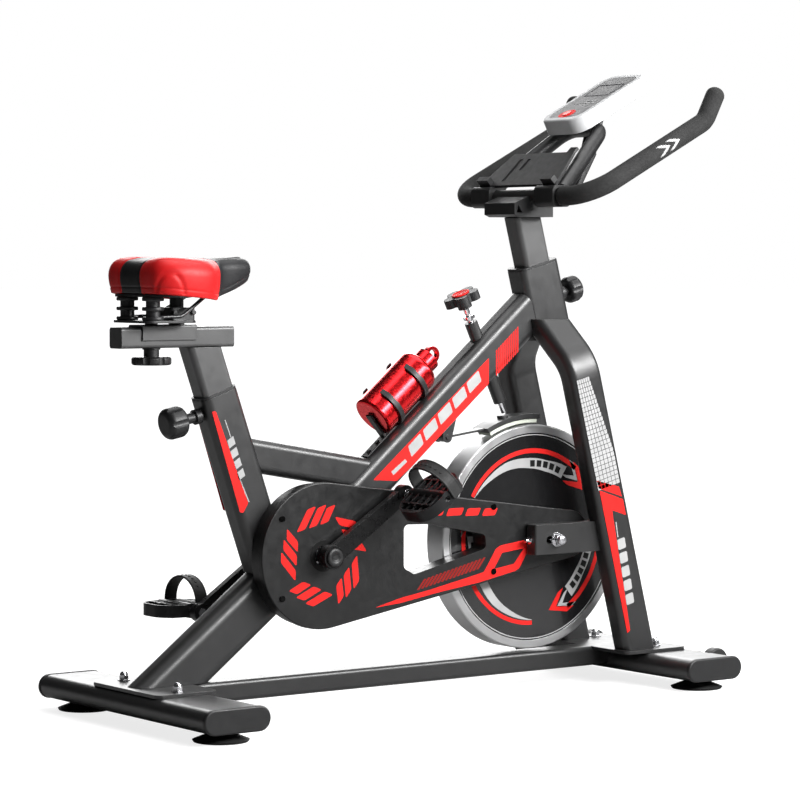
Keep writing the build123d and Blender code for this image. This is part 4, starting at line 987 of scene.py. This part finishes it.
def foam_grip(name, side):
    """A foam sleeve with a rolled lip at its inner end and a domed tip."""
    rows = grip_rows(side)
    tip = rows[-1]
    radii = []
    length = 0.0
    for i, row in enumerate(rows):
        if i:
            length += (row[0] - rows[i - 1][0]).length
        lip = 0.6 * math.exp(-(((length - 6) / 4.0) ** 2))
        edge = 2.5 * max(0.0, 1 - length / 3.0) ** 2
        radii.append(GRIP_RADIUS + lip - edge)
    dome = []
    for k in range(1, 9):
        t = math.pi / 2 * k / 8
        row = (tip[0] + tip[1] * 14 * math.sin(t), *tip[1:])
        dome.append((row, max(GRIP_RADIUS * math.cos(t), 0.4)))
    bm = bmesh.new()
    add_round_sweep(bm, rows + [d[0] for d in dome], radii + [d[1] for d in dome])
    obj = piece(name, bm, ["foam"], "mast")
    return obj


def grip_chevrons(side):
    """White chevrons printed round the outer side of a grip's straight arm."""
    rows = grip_rows(side)
    straight = [row for row in rows if 860 < row[0].x < 955]
    bm = bmesh.new()

    def spot(s, phi, lift):
        p, tangent, _, _ = straight[0]
        out = Vector((0, side, 0))
        up = tangent.cross(out).normalized()
        if up.z < 0:
            up = -up
        return p + tangent * s + (out * math.cos(phi) + up * math.sin(phi)) * (GRIP_RADIUS + lift)

    for offset in (0, 24):
        for half in (-1, 1):
            loops = []
            for lift in (-0.3, 0.35):
                low, high = [], []
                for k in range(9):
                    t = k / 8
                    phi = math.radians(10 + half * 34 * t)
                    low.append(bm.verts.new(at(*spot(offset + 18 * (1 - t), phi, lift))))
                    high.append(bm.verts.new(at(*spot(offset + 18 * (1 - t) + 11, phi, lift))))
                loops.append((low, high))
            (l0, h0), (l1, h1) = loops
            for k in range(8):
                bm.faces.new((l1[k], l1[k + 1], h1[k + 1], h1[k]))
                bm.faces.new((l0[k], h0[k], h0[k + 1], l0[k + 1]))
                bm.faces.new((l0[k], l0[k + 1], l1[k + 1], l1[k]))
                bm.faces.new((h0[k], h1[k], h1[k + 1], h0[k + 1]))
            bm.faces.new((l0[0], l1[0], h1[0], h0[0]))
            bm.faces.new((l0[8], h0[8], h1[8], l1[8]))
    piece("grip_print_" + hand(side), bm, ["print_white"], "mast")


def toe_strap(name, node, body, tip, y, pitch):
    """A rubber strap with raised edges and a row of studs, over the pedal."""
    along = turned(pitch)
    up = turned(pitch + 90)
    half, spring, rise = 46.9, 12.0, 39.5
    centre = Vector((tip[0], y, tip[1])) + along * 19
    path = [(-half, -7.0), (-half, 2.0), (-half, 11.0)]
    for k in range(1, 28):
        t = math.pi * k / 28
        path.append((-half * math.cos(t), spring + rise * math.sin(t)))
    path += [(half, 11.0), (half, 2.0), (half, -7.0)]
    bm = bmesh.new()
    profile = [(-11, -1.2), (-10, -1.6), (10, -1.6), (11, -1.2), (11, 1.4), (9.5, 2.0), (8, 1.4)]
    profile += [(-8, 1.4), (-9.5, 2.0), (-11, 1.4)]
    rings = []
    for i, (v, w) in enumerate(path):
        a = Vector(path[max(i - 1, 0)])
        b = Vector(path[min(i + 1, len(path) - 1)])
        tangent = (b - a).normalized()
        out = Vector((-tangent.y, tangent.x))
        ring = []
        for width, lift in profile:
            q = Vector((v, w)) + out * lift
            spot = centre + along * width + Vector((0, 1, 0)) * q.x + up * q.y
            ring.append(bm.verts.new(at(*spot)))
        rings.append(ring)
    bridge(bm, rings)
    bm.faces.new(rings[0])
    bm.faces.new(rings[-1][::-1])
    for k in range(9):
        t = math.pi * (0.22 + 0.07 * k)
        q = Vector((-half * math.cos(t), spring + rise * math.sin(t)))
        out = Vector((-math.cos(t) * rise, math.sin(t) * half)).normalized()
        base = centre + Vector((0, q.x, 0)) + up * q.y
        normal = Vector((0, out.x, 0)) + up * out.y
        rows = frames_along([base + normal, base + normal * 2.4], along)
        add_round_sweep(bm, rows, (2.6, 2.2), 12)
    obj = piece(name, bm, ["strap_rubber"], body, smooth=False)
    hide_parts(node)


# Small fittings


def lathe(name, place, profile, look, body, sides=40):
    """A turned piece on a plate: profile gives (radius, height) pairs from its foot to its middle."""
    bm = bmesh.new()
    rings = []
    for radius, height in profile:
        outline = ellipse(0, radius, radius, sides)
        rings.append([bm.verts.new(place.spot(u, v, height)) for u, v in outline])
    bridge(bm, rings)
    bm.faces.new(rings[0][::-1])
    bm.faces.new(rings[-1])
    return piece(name, bm, [look], body)


def fittings():
    """Caps on the crank and axle ends, the badge on the tension knob, and the brake felt."""
    for side, name in ((-1, "right"), (1, "left")):
        cap = side_plate(CRANK, side * 92.5)
        profile = ((14.5, -1.5), (14.5, 1.5), (13.6, 2.6), (11.5, 3.2))
        profile += ((7.0, 3.4), (6.6, 2.6), (3.0, 2.4), (0.5, 2.4))
        lathe("crank_cap_" + name, cap, profile, "black_plastic", "crank")
        nut = side_plate(AXLE, side * 100.0)
        profile = ((8.5, -3), (8.5, 2), (7.4, 4), (5.0, 5.2), (0.5, 5.6))
        lathe("axle_cap_" + name, nut, profile, "plain_steel", "frame")
    knob = Vector((TENSION_TOP[0], 0, TENSION_TOP[1]))
    down = (Vector((TENSION_FOOT[0], 0, TENSION_FOOT[1])) - knob).normalized()
    across = Vector((-down.z, 0, down.x))
    top = Plate(knob + down * (1.8 - 15), across, (0, 1, 0), -down)
    profile = ((15.5, -0.5), (15.5, 1.2), (14.6, 2.0), (12.0, 2.4), (11.0, 1.8), (0.5, 2.2))
    lathe("tension_knob_badge", top, profile, "print_red", "tension_knob")
    add_felt()


def seat_rails():
    """Two bent wires from the spring stacks up to the pan."""
    for side, name in ((-1, "right"), (1, "left")):
        corners = [(-6, side * 40, 633), (34, side * 40, 634)]
        corners += [(58, side * 34, 648), (86, side * 27, 665)]
        rows = frames_along(bent_path(corners, (22, 16), 2.0), (0, 0, 1))
        bm = bmesh.new()
        add_round_sweep(bm, rows, [3.0] * len(rows), 16)
        piece("seat_rail_" + name, bm, ["spring_steel"], "carriage")


def add_felt():
    """The curved felt pad under the brake shoe, with softened edges."""
    bm = bmesh.new()
    rings = []
    steps, first, span = 40, 86.2, 29.6
    profile = ((-16.6, 192.2), (-16.6, 198.0), (-15.8, 198.9), (15.8, 198.9))
    profile += ((16.6, 198.0), (16.6, 192.8), (15.8, 192.1), (8, 192.02), (-8, 192.02), (-15.8, 192.1))
    for k in range(steps + 1):
        direction = turned(first + span * k / steps)
        spots = [Vector((AXLE[0], y, AXLE[1])) + direction * r for y, r in profile]
        rings.append([bm.verts.new(at(*spot)) for spot in spots])
    bridge(bm, rings)
    bm.faces.new(rings[0])
    bm.faces.new(rings[-1][::-1])
    obj = piece("brake_felt", bm, ["felt"], "brake", smooth=False)
    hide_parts("brake_pad")


def add_pieces():
    guard_graphics()
    for side in (-1, 1):
        main_tube_graphics(side * 24.0)
        seat_tube_graphics(side * 24.5)
        fork_graphics(side * 107.0)
        flywheel_graphics(side * 21.0)
        grip_chevrons(side)
    console_graphics()
    saddle()
    foam = [foam_grip("grip_foam_right", -1), foam_grip("grip_foam_left", 1)]
    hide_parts("foam_grips")
    toe_strap("toe_strap_near", "toe_strap_right", "pedal_r", (426.9, 344.6), -155, 38)
    toe_strap("toe_strap_far", "toe_strap_left", "pedal_l", (143.1, 157.4), 155, 0)
    fittings()
    seat_rails()


LOOKS = make_looks()
dress_nodes()
add_pieces()
add_camera()
add_studio()
